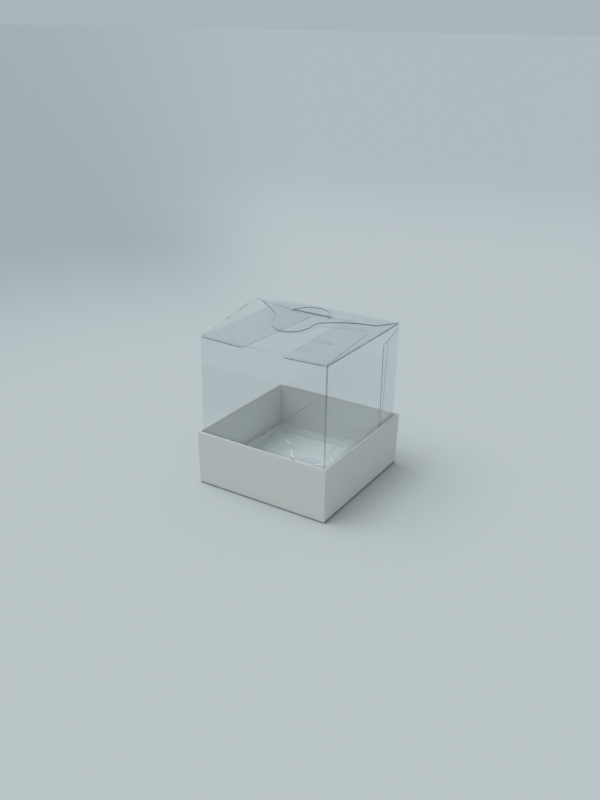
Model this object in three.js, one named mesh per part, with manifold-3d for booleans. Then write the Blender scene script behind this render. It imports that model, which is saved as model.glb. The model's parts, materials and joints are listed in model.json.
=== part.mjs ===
// A clear folding box standing in a card tray, in millimetres with +Z up.
// The origin is the middle of the tray's underside. +X is the box's right, +Y its back.
// The clear sleeve and the tray are each folded from one flat blank, so every panel between two
// fold lines is a mesh of its own, and the fold lines are the hinges.

import * as THREE from "three";
import { mergeVertices } from "three/addons/utils/BufferGeometryUtils.js";
import Module from "manifold-3d";

// Clear sleeve
const SHEET = 0.28; // thickness of the clear sheet
const SLEEVE_WIDTH = 50; // outside, left to right
const SLEEVE_DEPTH = 51; // outside, front to back
const SLEEVE_HEIGHT = 52; // bottom fold line to top fold line
const UPRIGHT_FOLD_RADIUS = 0.5; // outside radius of the four upright folds
const FOLD_BEAD_RADIUS = 0.2; // rolled root of a flap, round its fold line
const FOLD_GAP = 0.1; // between a flap's rolled root and the wall's edge

// Glue tab, inside the right wall at the back
const GLUE_TAB_WIDTH = 11.5;
const GLUE_TAB_END_NEAR = 1.6; // how far its end stops short of the fold line, at the upright fold
const GLUE_TAB_END_FAR = 4.9; // the same at its free edge

// Tongue-and-slit closure, the same at top and bottom; reaches are measured level from the fold line
const TOP_RISE = 4.1; // height of the slit over the top fold lines
const BOTTOM_RISE = 3; // depth of the slit under the bottom fold lines
const SLIT_FROM_BACK = 19.2; // slit to the back fold line
const NOSE_BEND_RADIUS = 16; // bend of the back flap from the slit on
const NOSE_TIP_GAP = 0.15; // between the nose and the front flap that it lies on
const TOP_SLIT_PLAY = 0.22; // tongue to slit edge, room for the tongue to slide out as the top opens
const BOTTOM_SLIT_PLAY = 0.1;
const SLIT_END_GAP = 0.4; // slit end to tongue side

const BACK_FLAP_RELIEF = 0.4; // its sides to the sleeve's sides
const BACK_FLAP_SIDE = 17.9; // length of its straight sides
const SHOULDER_SLOPE_DEGREES = 29; // of its shoulders, from the ends of the sides to the nose
const NOSE_ROOT_WIDTH = 19; // where the sloping shoulders end
const NOSE_WIDTH = 15; // where the rounded tip begins
const NOSE_ROUND = 7.8; // radius of the rounded tip
const BACK_FLAP_REACH = 36.5; // fold line to tip

const FRONT_FLAP_RELIEF = 0.7; // its sides to the sleeve's sides
const FRONT_FLAP_CORNER = 4; // radius of its two corners
const SHOULDER_SETBACK = 2.2; // shoulders stop this far short of the slit
const TONGUE_WIDTH = 15;
const TONGUE_ROUND = 8.4; // radius of its tip
const TONGUE_REACH = 4.8; // slit to tongue tip

// Dust flaps
const DUST_FLAP_RELIEF = 0.5; // its sides to the sleeve's front and back
const DUST_FLAP_FRONT = 16.6; // fold line to free edge at its front side
const DUST_FLAP_BACK = 18.6; // the same at its back side
const DUST_FLAP_CORNER = 1.5;
const DUST_FOLD_INSET = 0.1; // its root to the wall's inner face
const DUST_FOLD_DROP = 0.45; // its fold line lies this far inside the main fold lines
const TOP_DUST_DROOP_DEGREES = 1.5; // angle that the flap hangs into the box
const BOTTOM_LEFT_DUST_RISE_DEGREES = 40; // angle that the flap springs up inside the box
const BOTTOM_RIGHT_DUST_RISE_DEGREES = 5;

// Card tray
const BOARD = 0.3; // thickness of the card
const TRAY_HEIGHT = 20.5;
const TRAY_LAYER_GAP = 0.34; // between the outer and the inner panel of a wall, room for a corner tab
const SLEEVE_PLAY = 0.1; // sleeve to inner panel on each side, at the foot
const TRAY_FLARE = 0.35; // how far each wall leans out at its rim
const FOOT_RADIUS = 0.5; // outside radius of the fold between base and wall
const RIM_RETURN = 0.5; // straight length of the rim inside, above the inner panel
const MITRE_GAP = 0.05; // end of a wall to the corner's diagonal
const INNER_FOOT_GAP = 0.15; // inner panel to base
const SLEEVE_REST_GAP = 0.1; // lowest sheet of the sleeve to base
const CORNER_TAB_LENGTH = 12;
const CORNER_TAB_FOOT = 1.5; // height of its lower edge
const CORNER_TAB_TOP = 17; // height of its upper edge
const CORNER_TAB_SLOPE = 2; // how much its free end narrows at top and bottom

// Working values
const FOLD_SPAN = SLEEVE_DEPTH - SHEET; // front fold line to back fold line
const FOLD_CLEARANCE = FOLD_BEAD_RADIUS + FOLD_GAP; // fold line to the wall's edge
const BACK_FLAP_WIDTH = SLEEVE_WIDTH - 2 * BACK_FLAP_RELIEF;
const FRONT_FLAP_WIDTH = SLEEVE_WIDTH - 2 * FRONT_FLAP_RELIEF;
const DUST_FLAP_WIDTH = SLEEVE_DEPTH - 2 * DUST_FLAP_RELIEF;
const WALL_THICKNESS = 2 * BOARD + TRAY_LAYER_GAP; // both panels of a tray wall
const ARC_SEGMENTS = 14;
const CUTTER_HEIGHT = 30; // taller than any flap's rise or droop

const wasm = await Module();
wasm.setup();

const clearSheet = new THREE.MeshStandardMaterial({
  color: 0xdde5e8,
  roughness: 0.08,
  metalness: 0,
  transparent: true,
  opacity: 0.3,
});
const whiteCard = new THREE.MeshStandardMaterial({ color: 0xd6dadb, roughness: 0.85, metalness: 0 });

/** A closed three.js geometry as a solid that can be joined and cut. */
function toSolid(geometry) {
  const bare = geometry.clone();
  bare.deleteAttribute("normal");
  bare.deleteAttribute("uv");
  const merged = mergeVertices(bare, 1e-4);
  return new wasm.Manifold(
    new wasm.Mesh({
      numProp: 3,
      vertProperties: new Float32Array(merged.getAttribute("position").array),
      triVerts: new Uint32Array(merged.index.array),
    }),
  );
}

/** A solid as a three.js geometry. */
function toGeometry(solid) {
  const mesh = solid.getMesh();
  const geometry = new THREE.BufferGeometry();
  geometry.setAttribute("position", new THREE.BufferAttribute(mesh.vertProperties, 3));
  geometry.setIndex(new THREE.BufferAttribute(mesh.triVerts, 1));
  geometry.computeVertexNormals();
  return geometry;
}

/** A named mesh at the origin of its group. */
function panel(name, geometry, material) {
  const mesh = new THREE.Mesh(geometry, material);
  mesh.name = name;
  return mesh;
}

/** An upright prism over a plan outline, between two heights. */
function uprightPrism(outline, low, high) {
  const geometry = new THREE.ExtrudeGeometry(outline, {
    depth: high - low,
    bevelEnabled: false,
    curveSegments: ARC_SEGMENTS,
  });
  return geometry.translate(0, 0, low);
}

/** A side profile, drawn as distance from the fold line and height, drawn out to a width along X. */
function crosswisePrism(profile, width) {
  const geometry = new THREE.ExtrudeGeometry(profile, {
    depth: width,
    bevelEnabled: false,
    curveSegments: ARC_SEGMENTS,
  });
  geometry.translate(0, 0, -width / 2);
  const alongY = new THREE.Vector3(0, 1, 0);
  const alongZ = new THREE.Vector3(0, 0, 1);
  const alongX = new THREE.Vector3(1, 0, 0);
  return geometry.applyMatrix4(new THREE.Matrix4().makeBasis(alongY, alongZ, alongX));
}

/**
 * Side profile of a flap: a rolled root round the fold line, a straight run that climbs at a slope,
 * a bend that turns it downwards and a straight tail. Angles are in radians, and a turn of 0 gives
 * a flat flap.
 */
function flapProfile(slope, straight, turn, tail) {
  const half = SHEET / 2;
  const radius = NOSE_BEND_RADIUS;
  const rootAngle = Math.asin(half / FOLD_BEAD_RADIUS);
  const point = (along, across, angle, from) =>
    new THREE.Vector2(along, across).rotateAround(new THREE.Vector2(), angle).add(from);
  const start = new THREE.Vector2(0, 0);
  const bend = point(straight, 0, slope, start);
  const centre = point(0, -radius, slope, bend);
  const bendEnd = point(0, radius, slope - turn, centre);
  const tipLow = point(tail, -half, slope - turn, bendEnd);
  const tipHigh = point(tail, half, slope - turn, bendEnd);
  const highRoot = point(Math.sqrt(FOLD_BEAD_RADIUS ** 2 - half ** 2), half, slope, start);
  const quarter = Math.PI / 2;
  const profile = new THREE.Shape();
  profile.moveTo(...point(Math.sqrt(FOLD_BEAD_RADIUS ** 2 - half ** 2), -half, slope, start));
  if (turn > 0) {
    profile.absarc(...centre, radius - half, slope + quarter, slope + quarter - turn, true);
  }
  profile.lineTo(...tipLow);
  profile.lineTo(...tipHigh);
  if (turn > 0) {
    profile.absarc(...centre, radius + half, slope + quarter - turn, slope + quarter, false);
  }
  profile.lineTo(...highRoot);
  profile.absarc(0, 0, FOLD_BEAD_RADIUS, slope + rootAngle, slope - rootAngle + 2 * Math.PI, false);
  return profile;
}

/**
 * Where the two main flaps cross: their slopes, the angle between them and how far the slit reaches
 * from the crossing, forwards under the nose and backwards under the tongue.
 */
function crossing(rise, slitPlay) {
  const frontRun = FOLD_SPAN - SLIT_FROM_BACK;
  const frontSlope = Math.atan2(rise, frontRun);
  const backSlope = Math.atan2(rise, SLIT_FROM_BACK);
  const turn = frontSlope + backSlope;
  const needed = SHEET + slitPlay;
  // In front of the crossing, where the nose bends, the sheets part by s sin(turn) - s^2 / 2R.
  const parting = Math.sin(turn) ** 2 - (2 * needed) / NOSE_BEND_RADIUS;
  const bent = Math.sin(turn) - Math.sqrt(Math.max(0, parting));
  const slitFront = NOSE_BEND_RADIUS * bent * Math.cos(backSlope);
  const slitBack = (needed / Math.sin(turn)) * Math.cos(backSlope);
  return { rise, frontRun, frontSlope, backSlope, turn, slitFront, slitBack };
}

/** Height of the outermost sheet over the fold lines: the bend at the slit or the tongue's tip. */
function crown(cross) {
  const bend = NOSE_BEND_RADIUS * (1 - Math.cos(cross.backSlope));
  const tongue = TONGUE_REACH * Math.tan(cross.frontSlope);
  return cross.rise + Math.max(bend, tongue) + SHEET / 2;
}

/**
 * The back flap's sheet: straight to the crossing, bent until it lies along the front flap, and then
 * bent on a little, so that its tip closes on the front flap to the gap given.
 */
function backFlapSheet(cross, width) {
  const radius = NOSE_BEND_RADIUS;
  const straight = SLIT_FROM_BACK / Math.cos(cross.backSlope);
  const nose = (BACK_FLAP_REACH - SLIT_FROM_BACK) / Math.cos(cross.frontSlope);
  const past = nose - radius * cross.turn;
  const excess = Math.max(0, radius * (1 - Math.cos(cross.turn)) - SHEET - NOSE_TIP_GAP);
  // Bending on by an angle c brings the tip nearer by past * c - radius * c^2 / 2.
  const closing = (past - Math.sqrt(Math.max(0, past ** 2 - 2 * radius * excess))) / radius;
  const tail = past - radius * closing + SHEET; // a little long, so that the outline cuts it
  const profile = flapProfile(cross.backSlope, straight, cross.turn + closing, tail);
  return toSolid(crosswisePrism(profile, width));
}

/** Plan outline of the back flap: straight sides, sloping shoulders and a rounded nose. */
function backFlapOutline() {
  const side = BACK_FLAP_WIDTH / 2;
  const root = NOSE_ROOT_WIDTH / 2;
  const shoulderSlope = Math.tan(THREE.MathUtils.degToRad(SHOULDER_SLOPE_DEGREES));
  const shoulderEnd = BACK_FLAP_SIDE + (side - root) * shoulderSlope;
  const tip = NOSE_WIDTH / 2;
  const noseAngle = Math.asin(tip / NOSE_ROUND);
  const noseCentre = BACK_FLAP_REACH - NOSE_ROUND;
  const noseStart = noseCentre + NOSE_ROUND * Math.cos(noseAngle);
  const easing = shoulderEnd + (root - tip) * shoulderSlope; // where the nose turns out into the shoulders
  const outline = new THREE.Shape();
  outline.moveTo(-side, -FOLD_BEAD_RADIUS);
  outline.lineTo(side, -FOLD_BEAD_RADIUS);
  outline.lineTo(side, BACK_FLAP_SIDE);
  outline.lineTo(root, shoulderEnd);
  outline.quadraticCurveTo(tip, easing, tip, noseStart);
  outline.absarc(0, noseCentre, NOSE_ROUND, Math.PI / 2 - noseAngle, Math.PI / 2 + noseAngle, false);
  outline.quadraticCurveTo(-tip, easing, -root, shoulderEnd);
  outline.lineTo(-side, BACK_FLAP_SIDE);
  outline.closePath();
  return outline;
}

/** Plan outline of the front flap: full width up to its rounded shoulders, then the tongue. */
function frontFlapOutline(cross) {
  const side = FRONT_FLAP_WIDTH / 2;
  const tongue = TONGUE_WIDTH / 2;
  const tipAngle = Math.asin(tongue / TONGUE_ROUND);
  const tipCentre = cross.frontRun + TONGUE_REACH - TONGUE_ROUND;
  const shoulder = cross.frontRun - SHOULDER_SETBACK;
  const corner = FRONT_FLAP_CORNER;
  const outline = new THREE.Shape();
  outline.moveTo(-side, -FOLD_BEAD_RADIUS);
  outline.lineTo(side, -FOLD_BEAD_RADIUS);
  outline.absarc(side - corner, shoulder - corner, corner, 0, Math.PI / 2, false);
  outline.lineTo(tongue, shoulder);
  outline.absarc(0, tipCentre, TONGUE_ROUND, Math.PI / 2 - tipAngle, Math.PI / 2 + tipAngle, false);
  outline.lineTo(-tongue, shoulder);
  outline.absarc(corner - side, shoulder - corner, corner, Math.PI / 2, Math.PI, false);
  outline.closePath();
  return outline;
}

/** Plan outline of the slit, a narrow slot with round ends across the back flap. */
function slitOutline(cross) {
  const half = (cross.slitFront + cross.slitBack) / 2;
  const middle = SLIT_FROM_BACK + (cross.slitFront - cross.slitBack) / 2;
  const end = TONGUE_WIDTH / 2 + SLIT_END_GAP - half / 2;
  const outline = new THREE.Shape();
  outline.absarc(end, middle, half, -Math.PI / 2, Math.PI / 2, false);
  outline.absarc(-end, middle, half, Math.PI / 2, (3 * Math.PI) / 2, false);
  outline.closePath();
  return outline;
}

/**
 * Back flap: it slopes up from the back fold line, is slit where the tongue passes and lies over
 * the front flap.
 */
function backFlapSolid(cross) {
  const sheet = backFlapSheet(cross, BACK_FLAP_WIDTH + SHEET);
  const outline = toSolid(uprightPrism(backFlapOutline(), -CUTTER_HEIGHT, CUTTER_HEIGHT));
  const slit = toSolid(uprightPrism(slitOutline(cross), -CUTTER_HEIGHT, CUTTER_HEIGHT));
  return sheet.intersect(outline).subtract(slit);
}

/** Front flap: it slopes up from the front fold line, and its tongue runs on through the slit. */
function frontFlapSolid(cross) {
  const reach = (cross.frontRun + TONGUE_REACH) / Math.cos(cross.frontSlope);
  const profile = flapProfile(cross.frontSlope, reach, 0, SHEET);
  const sheet = toSolid(crosswisePrism(profile, FRONT_FLAP_WIDTH + SHEET));
  const outline = toSolid(uprightPrism(frontFlapOutline(cross), -CUTTER_HEIGHT, CUTTER_HEIGHT));
  return sheet.intersect(outline);
}

/** Dust flap: flat, longer at the back than at the front. The front is at +X or -X of its own frame. */
function dustFlapSolid(inward, frontSign) {
  const side = DUST_FLAP_WIDTH / 2;
  const corner = DUST_FLAP_CORNER;
  const slope = THREE.MathUtils.degToRad(-inward);
  const level = Math.cos(slope);
  const front = DUST_FLAP_FRONT * level;
  const back = DUST_FLAP_BACK * level;
  const outline = new THREE.Shape();
  const at = (x, y) => [frontSign * x, y];
  outline.moveTo(...at(-side, -FOLD_BEAD_RADIUS));
  outline.lineTo(...at(side, -FOLD_BEAD_RADIUS));
  outline.lineTo(...at(side, front - corner));
  outline.quadraticCurveTo(...at(side, front), ...at(side - corner, front));
  outline.lineTo(...at(corner - side, back));
  outline.quadraticCurveTo(...at(-side, back), ...at(-side, back - corner));
  outline.closePath();
  const profile = flapProfile(slope, DUST_FLAP_BACK, 0, SHEET);
  const sheet = toSolid(crosswisePrism(profile, DUST_FLAP_WIDTH + SHEET));
  return sheet.intersect(toSolid(uprightPrism(outline, -CUTTER_HEIGHT, CUTTER_HEIGHT)));
}

/** Stands a flap's group on a fold line: inset from the middle of the box, its flap reaching inwards. */
function onFoldLine(mesh, distance, turn) {
  const group = new THREE.Group();
  group.position.set(distance * Math.sin(turn), -distance * Math.cos(turn), 0);
  group.rotation.z = turn;
  group.add(mesh);
  return group;
}

/** The four flaps of one end of the sleeve, drawn for the top end in a frame at the fold lines' height. */
function closure(end, cross, leftInward, rightInward, mirrored) {
  const group = new THREE.Group();
  const dustFold = SLEEVE_WIDTH / 2 - SHEET - DUST_FOLD_INSET - SHEET / 2;
  const frontFlap = panel(end + "_front_flap", toGeometry(frontFlapSolid(cross)), clearSheet);
  const backFlap = panel(end + "_back_flap", toGeometry(backFlapSolid(cross)), clearSheet);
  group.add(onFoldLine(frontFlap, FOLD_SPAN / 2, 0));
  group.add(onFoldLine(backFlap, FOLD_SPAN / 2, Math.PI));
  const dustFlaps = [
    { side: "left", inward: leftInward, turn: -Math.PI / 2, frontSign: 1 },
    { side: "right", inward: rightInward, turn: Math.PI / 2, frontSign: -1 },
  ];
  for (const { side, inward, turn, frontSign } of dustFlaps) {
    // The bottom end is the top end turned over, which swaps left and right.
    const handed = mirrored ? -1 : 1;
    const solid = dustFlapSolid(inward, handed * frontSign);
    const mesh = panel(end + "_" + side + "_dust_flap", toGeometry(solid), clearSheet);
    const placed = onFoldLine(mesh, dustFold, handed * turn);
    placed.position.z = -DUST_FOLD_DROP;
    group.add(placed);
  }
  if (mirrored) group.rotation.y = Math.PI;
  return group;
}

/** Plan outline of a wall panel along X, its outer face on Y = 0, with the upright fold at its far end. */
function wallOutline(start, length) {
  const radius = UPRIGHT_FOLD_RADIUS;
  const quarter = Math.PI / 2;
  const outline = new THREE.Shape();
  outline.moveTo(start, 0);
  outline.absarc(length - radius, radius, radius, -quarter, 0, false);
  outline.absarc(length - radius, radius, radius - SHEET, 0, -quarter, true);
  outline.lineTo(start, SHEET);
  outline.closePath();
  return outline;
}

/** Plan outline of the right wall, which has a plain cut end at the back. */
function plainWallOutline(start, length) {
  const outline = new THREE.Shape();
  outline.moveTo(start, 0);
  outline.lineTo(length, 0);
  outline.lineTo(length, SHEET);
  outline.lineTo(start, SHEET);
  outline.closePath();
  return outline;
}

/** Plan outline of the glue tab, from its upright fold at the back right corner forwards. */
function glueTabOutline() {
  const radius = UPRIGHT_FOLD_RADIUS;
  const quarter = Math.PI / 2;
  const outer = SLEEVE_WIDTH / 2 - SHEET;
  const back = SLEEVE_DEPTH / 2;
  const outline = new THREE.Shape();
  outline.moveTo(outer, back - GLUE_TAB_WIDTH);
  outline.absarc(outer - radius, back - radius, radius, 0, quarter, false);
  outline.absarc(outer - radius, back - radius, radius - SHEET, quarter, 0, true);
  outline.lineTo(outer - SHEET, back - GLUE_TAB_WIDTH);
  outline.closePath();
  return outline;
}

/** Side outline of the glue tab in Y and Z, with both ends cut at a slant. */
function glueTabSide(low, high) {
  const back = SLEEVE_DEPTH / 2;
  const free = back - GLUE_TAB_WIDTH;
  const outline = new THREE.Shape();
  outline.moveTo(free - SHEET, low + GLUE_TAB_END_FAR);
  outline.lineTo(free, low + GLUE_TAB_END_FAR);
  outline.lineTo(back - UPRIGHT_FOLD_RADIUS, low + GLUE_TAB_END_NEAR);
  outline.lineTo(back + SHEET, low + GLUE_TAB_END_NEAR);
  outline.lineTo(back + SHEET, high - GLUE_TAB_END_NEAR);
  outline.lineTo(back - UPRIGHT_FOLD_RADIUS, high - GLUE_TAB_END_NEAR);
  outline.lineTo(free, high - GLUE_TAB_END_FAR);
  outline.lineTo(free - SHEET, high - GLUE_TAB_END_FAR);
  outline.closePath();
  return outline;
}

/** The glue tab: one sheet with the back wall, folded forwards inside the right wall. */
function glueTab(low, high) {
  const upright = toSolid(uprightPrism(glueTabOutline(), low, high));
  const side = toSolid(crosswisePrism(glueTabSide(low, high), 2 * SLEEVE_WIDTH));
  return panel("sleeve_glue_tab", toGeometry(upright.intersect(side)), clearSheet);
}

/** The four walls of the sleeve, each with the upright fold at its far end, and the glue tab. */
function sleeveWalls(bottomFold, topFold) {
  const group = new THREE.Group();
  const low = bottomFold + FOLD_CLEARANCE;
  const high = topFold - FOLD_CLEARANCE;
  const fold = UPRIGHT_FOLD_RADIUS;
  const halfWidth = SLEEVE_WIDTH / 2;
  const halfDepth = SLEEVE_DEPTH / 2;
  const walls = [
    { name: "front", outline: wallOutline(fold, SLEEVE_WIDTH), x: -halfWidth, y: -halfDepth, turn: 0 },
    { name: "right", outline: plainWallOutline(fold, SLEEVE_DEPTH), x: halfWidth, y: -halfDepth, turn: 1 },
    { name: "back", outline: wallOutline(SHEET + fold, SLEEVE_WIDTH), x: halfWidth, y: halfDepth, turn: 2 },
    { name: "left", outline: wallOutline(fold, SLEEVE_DEPTH), x: -halfWidth, y: halfDepth, turn: 3 },
  ];
  for (const { name, outline, x, y, turn } of walls) {
    const wall = panel("sleeve_" + name + "_wall", uprightPrism(outline, low, high), clearSheet);
    wall.position.set(x, y, 0);
    wall.rotation.z = (turn * Math.PI) / 2;
    group.add(wall);
  }
  group.add(glueTab(bottomFold, topFold));
  return group;
}

/** How far a tray wall leans out at a height. */
function lean(height) {
  return (TRAY_FLARE * height) / TRAY_HEIGHT;
}

/** Upright section of a tray wall's outer panel: the foot fold, the wall and the rim folded over inwards. */
function outerPanelSection() {
  const quarter = Math.PI / 2;
  const half = WALL_THICKNESS / 2;
  const rimCentre = TRAY_HEIGHT - half;
  const foot = WALL_THICKNESS - FOOT_RADIUS;
  const section = new THREE.Shape();
  section.moveTo(foot, 0);
  section.absarc(foot, FOOT_RADIUS, FOOT_RADIUS, -quarter, 0, false);
  section.absarc(half, rimCentre, half, 0, Math.PI, false);
  section.lineTo(0, rimCentre - RIM_RETURN);
  section.lineTo(BOARD, rimCentre - RIM_RETURN);
  section.absarc(half, rimCentre, half - BOARD, Math.PI, 0, true);
  section.absarc(foot, FOOT_RADIUS, FOOT_RADIUS - BOARD, 0, -quarter, true);
  section.closePath();
  return section;
}

/** Upright section of a tray wall's inner panel, hanging from the rim to just over the base. */
function innerPanelSection() {
  const top = TRAY_HEIGHT - WALL_THICKNESS / 2 - RIM_RETURN;
  const foot = BOARD + INNER_FOOT_GAP;
  const section = new THREE.Shape();
  section.moveTo(0, foot);
  section.lineTo(BOARD, foot);
  section.lineTo(BOARD, top);
  section.lineTo(0, top);
  section.closePath();
  return section;
}

/** A tray wall from its upright section: drawn out along X, leant outwards and mitred at both ends. */
function trayWallGeometry(section, halfLength, halfAcross) {
  const options = { depth: 1, bevelEnabled: false, curveSegments: ARC_SEGMENTS };
  const geometry = new THREE.ExtrudeGeometry(section, options);
  const position = geometry.getAttribute("position");
  for (let i = 0; i < position.count; i++) {
    const height = position.getY(i);
    const out = SLEEVE_PLAY + position.getX(i) + lean(height);
    const end = position.getZ(i) > 0 ? -1 : 1;
    position.setXYZ(i, end * (halfLength + out - MITRE_GAP), -halfAcross - out, height);
  }
  geometry.computeVertexNormals();
  return geometry;
}

/** A corner tab: a leaf on the end of a side wall, folded in between the two panels of the next wall. */
function cornerTabGeometry(halfLength, halfAcross, end) {
  const low = CORNER_TAB_FOOT;
  const high = CORNER_TAB_TOP;
  const slope = CORNER_TAB_SLOPE;
  const leaf = new THREE.Shape();
  leaf.moveTo(0, low);
  leaf.lineTo(CORNER_TAB_LENGTH, low + slope);
  leaf.lineTo(CORNER_TAB_LENGTH, high - slope);
  leaf.lineTo(0, high);
  leaf.closePath();
  const geometry = new THREE.ExtrudeGeometry(leaf, { depth: BOARD, bevelEnabled: false });
  const position = geometry.getAttribute("position");
  const inner = SLEEVE_PLAY + BOARD + (TRAY_LAYER_GAP - BOARD) / 2;
  for (let i = 0; i < position.count; i++) {
    const height = position.getY(i);
    const out = inner + position.getZ(i) + lean(height);
    const cornerToPoint = position.getX(i) + MITRE_GAP;
    position.setXYZ(i, halfLength + out - cornerToPoint, -halfAcross - out, height);
  }
  if (end < 0) geometry.scale(-1, 1, 1);
  return geometry;
}

/** Turns a mirrored geometry's faces outwards again. */
function faceOutwards(geometry) {
  const position = geometry.getAttribute("position");
  const corner = new THREE.Vector3();
  const other = new THREE.Vector3();
  for (let i = 0; i < position.count; i += 3) {
    corner.fromBufferAttribute(position, i);
    other.fromBufferAttribute(position, i + 1);
    position.setXYZ(i, other.x, other.y, other.z);
    position.setXYZ(i + 1, corner.x, corner.y, corner.z);
  }
  return geometry;
}

/** The card tray: base, four double walls with rolled rims, and four corner tabs. */
function tray() {
  const group = new THREE.Group();
  const halfWidth = SLEEVE_WIDTH / 2;
  const halfDepth = SLEEVE_DEPTH / 2;
  const baseMargin = SLEEVE_PLAY + WALL_THICKNESS - FOOT_RADIUS;
  const base = new THREE.BoxGeometry(SLEEVE_WIDTH + 2 * baseMargin, SLEEVE_DEPTH + 2 * baseMargin, BOARD);
  group.add(panel("tray_base", base.translate(0, 0, BOARD / 2), whiteCard));
  const walls = [
    { name: "front", halfLength: halfWidth, halfAcross: halfDepth, turn: 0 },
    { name: "right", halfLength: halfDepth, halfAcross: halfWidth, turn: 1 },
    { name: "back", halfLength: halfWidth, halfAcross: halfDepth, turn: 2 },
    { name: "left", halfLength: halfDepth, halfAcross: halfWidth, turn: 3 },
  ];
  for (const { name, halfLength, halfAcross, turn } of walls) {
    const wall = new THREE.Group();
    wall.rotation.z = (turn * Math.PI) / 2;
    const outer = trayWallGeometry(outerPanelSection(), halfLength, halfAcross);
    const inner = trayWallGeometry(innerPanelSection(), halfLength, halfAcross);
    wall.add(panel("tray_" + name + "_outer_panel", outer, whiteCard));
    wall.add(panel("tray_" + name + "_inner_panel", inner, whiteCard));
    group.add(wall);
  }
  for (const { name, halfLength, halfAcross, turn } of walls.filter((wall) => wall.turn % 2 === 0)) {
    const tabs = new THREE.Group();
    tabs.rotation.z = (turn * Math.PI) / 2;
    const sides = turn === 0 ? ["left", "right"] : ["right", "left"];
    sides.forEach((side, index) => {
      const end = index === 0 ? -1 : 1;
      const leaf = cornerTabGeometry(halfLength, halfAcross, end);
      const outward = end < 0 ? leaf : faceOutwards(leaf);
      tabs.add(panel("tray_" + name + "_" + side + "_corner_tab", outward, whiteCard));
    });
    group.add(tabs);
  }
  return group;
}

/** The whole box: the sleeve with both closures shut, standing in the tray. */
function clearBox() {
  const box = new THREE.Group();
  const topCross = crossing(TOP_RISE, TOP_SLIT_PLAY);
  const bottomCross = crossing(BOTTOM_RISE, BOTTOM_SLIT_PLAY);
  const bottomFold = BOARD + SLEEVE_REST_GAP + crown(bottomCross);
  const topFold = bottomFold + SLEEVE_HEIGHT;
  const top = closure("top", topCross, TOP_DUST_DROOP_DEGREES, TOP_DUST_DROOP_DEGREES, false);
  const leftRise = BOTTOM_LEFT_DUST_RISE_DEGREES;
  const bottom = closure("bottom", bottomCross, leftRise, BOTTOM_RIGHT_DUST_RISE_DEGREES, true);
  top.position.z = topFold;
  bottom.position.z = bottomFold;
  box.add(tray(), sleeveWalls(bottomFold, topFold), bottom, top);
  return box;
}

export default clearBox();
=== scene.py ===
"""Looks of a clear folding gift box that stands in a shallow white card tray."""

import json
import logging
import math
from collections.abc import Callable, Sequence
from dataclasses import dataclass, field, replace
from enum import Enum, IntEnum

import bpy
from mathutils import Matrix, Vector, geometry, kdtree, noise


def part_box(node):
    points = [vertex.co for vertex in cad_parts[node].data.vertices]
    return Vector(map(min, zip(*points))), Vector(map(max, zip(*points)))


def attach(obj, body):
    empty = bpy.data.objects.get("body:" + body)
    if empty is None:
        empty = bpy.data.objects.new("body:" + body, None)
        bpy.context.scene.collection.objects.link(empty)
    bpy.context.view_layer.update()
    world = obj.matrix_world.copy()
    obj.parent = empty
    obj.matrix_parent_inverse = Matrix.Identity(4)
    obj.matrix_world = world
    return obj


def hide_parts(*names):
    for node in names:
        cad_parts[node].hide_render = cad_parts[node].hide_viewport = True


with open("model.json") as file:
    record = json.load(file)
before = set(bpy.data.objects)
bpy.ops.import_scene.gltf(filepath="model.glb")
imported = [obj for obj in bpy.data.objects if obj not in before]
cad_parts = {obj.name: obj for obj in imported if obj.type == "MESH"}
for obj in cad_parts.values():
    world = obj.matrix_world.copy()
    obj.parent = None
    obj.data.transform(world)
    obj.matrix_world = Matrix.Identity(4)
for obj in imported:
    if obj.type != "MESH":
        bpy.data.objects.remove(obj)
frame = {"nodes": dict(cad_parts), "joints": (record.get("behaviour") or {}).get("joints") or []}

logging.basicConfig(level=logging.INFO, format="%(message)s")
log = logging.getLogger("gift_box")

MM = 0.001
SAME_POINT = 0.001 * MM  # points of an outline that are closer than this are one

Colour = tuple[float, float, float]
Surface = Callable[[float, float], Vector]
Measure = Callable[[float, float], float]


class Zone(IntEnum):
    """Which finish a face of a sheet takes, as its place in the sheet's material list."""

    FACE = 0
    CUT_EDGE = 1
    FOLD = 2
    FAINT_EDGE = 3
    # painted highlight: the pale finish of cut edges that catch the light
    HIGHLIGHT_EDGE = 4


ZoneRule = Callable[[float, float], Zone]


class End(Enum):
    """The two ends of the sleeve that its flaps close."""

    TOP = "top"
    BOTTOM = "bottom"


def smooth_step(low: float, high: float, value: float) -> float:
    """Share from 0 to 1 of the way from low to high, eased at both ends."""
    share = min(1.0, max(0.0, (value - low) / (high - low)))
    return share * share * (3.0 - 2.0 * share)


def steps(start: float, stop: float, count: int) -> list[float]:
    """count + 1 evenly spaced values from start to stop."""
    return [start + (stop - start) * i / count for i in range(count + 1)]


# Finishes


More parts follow.
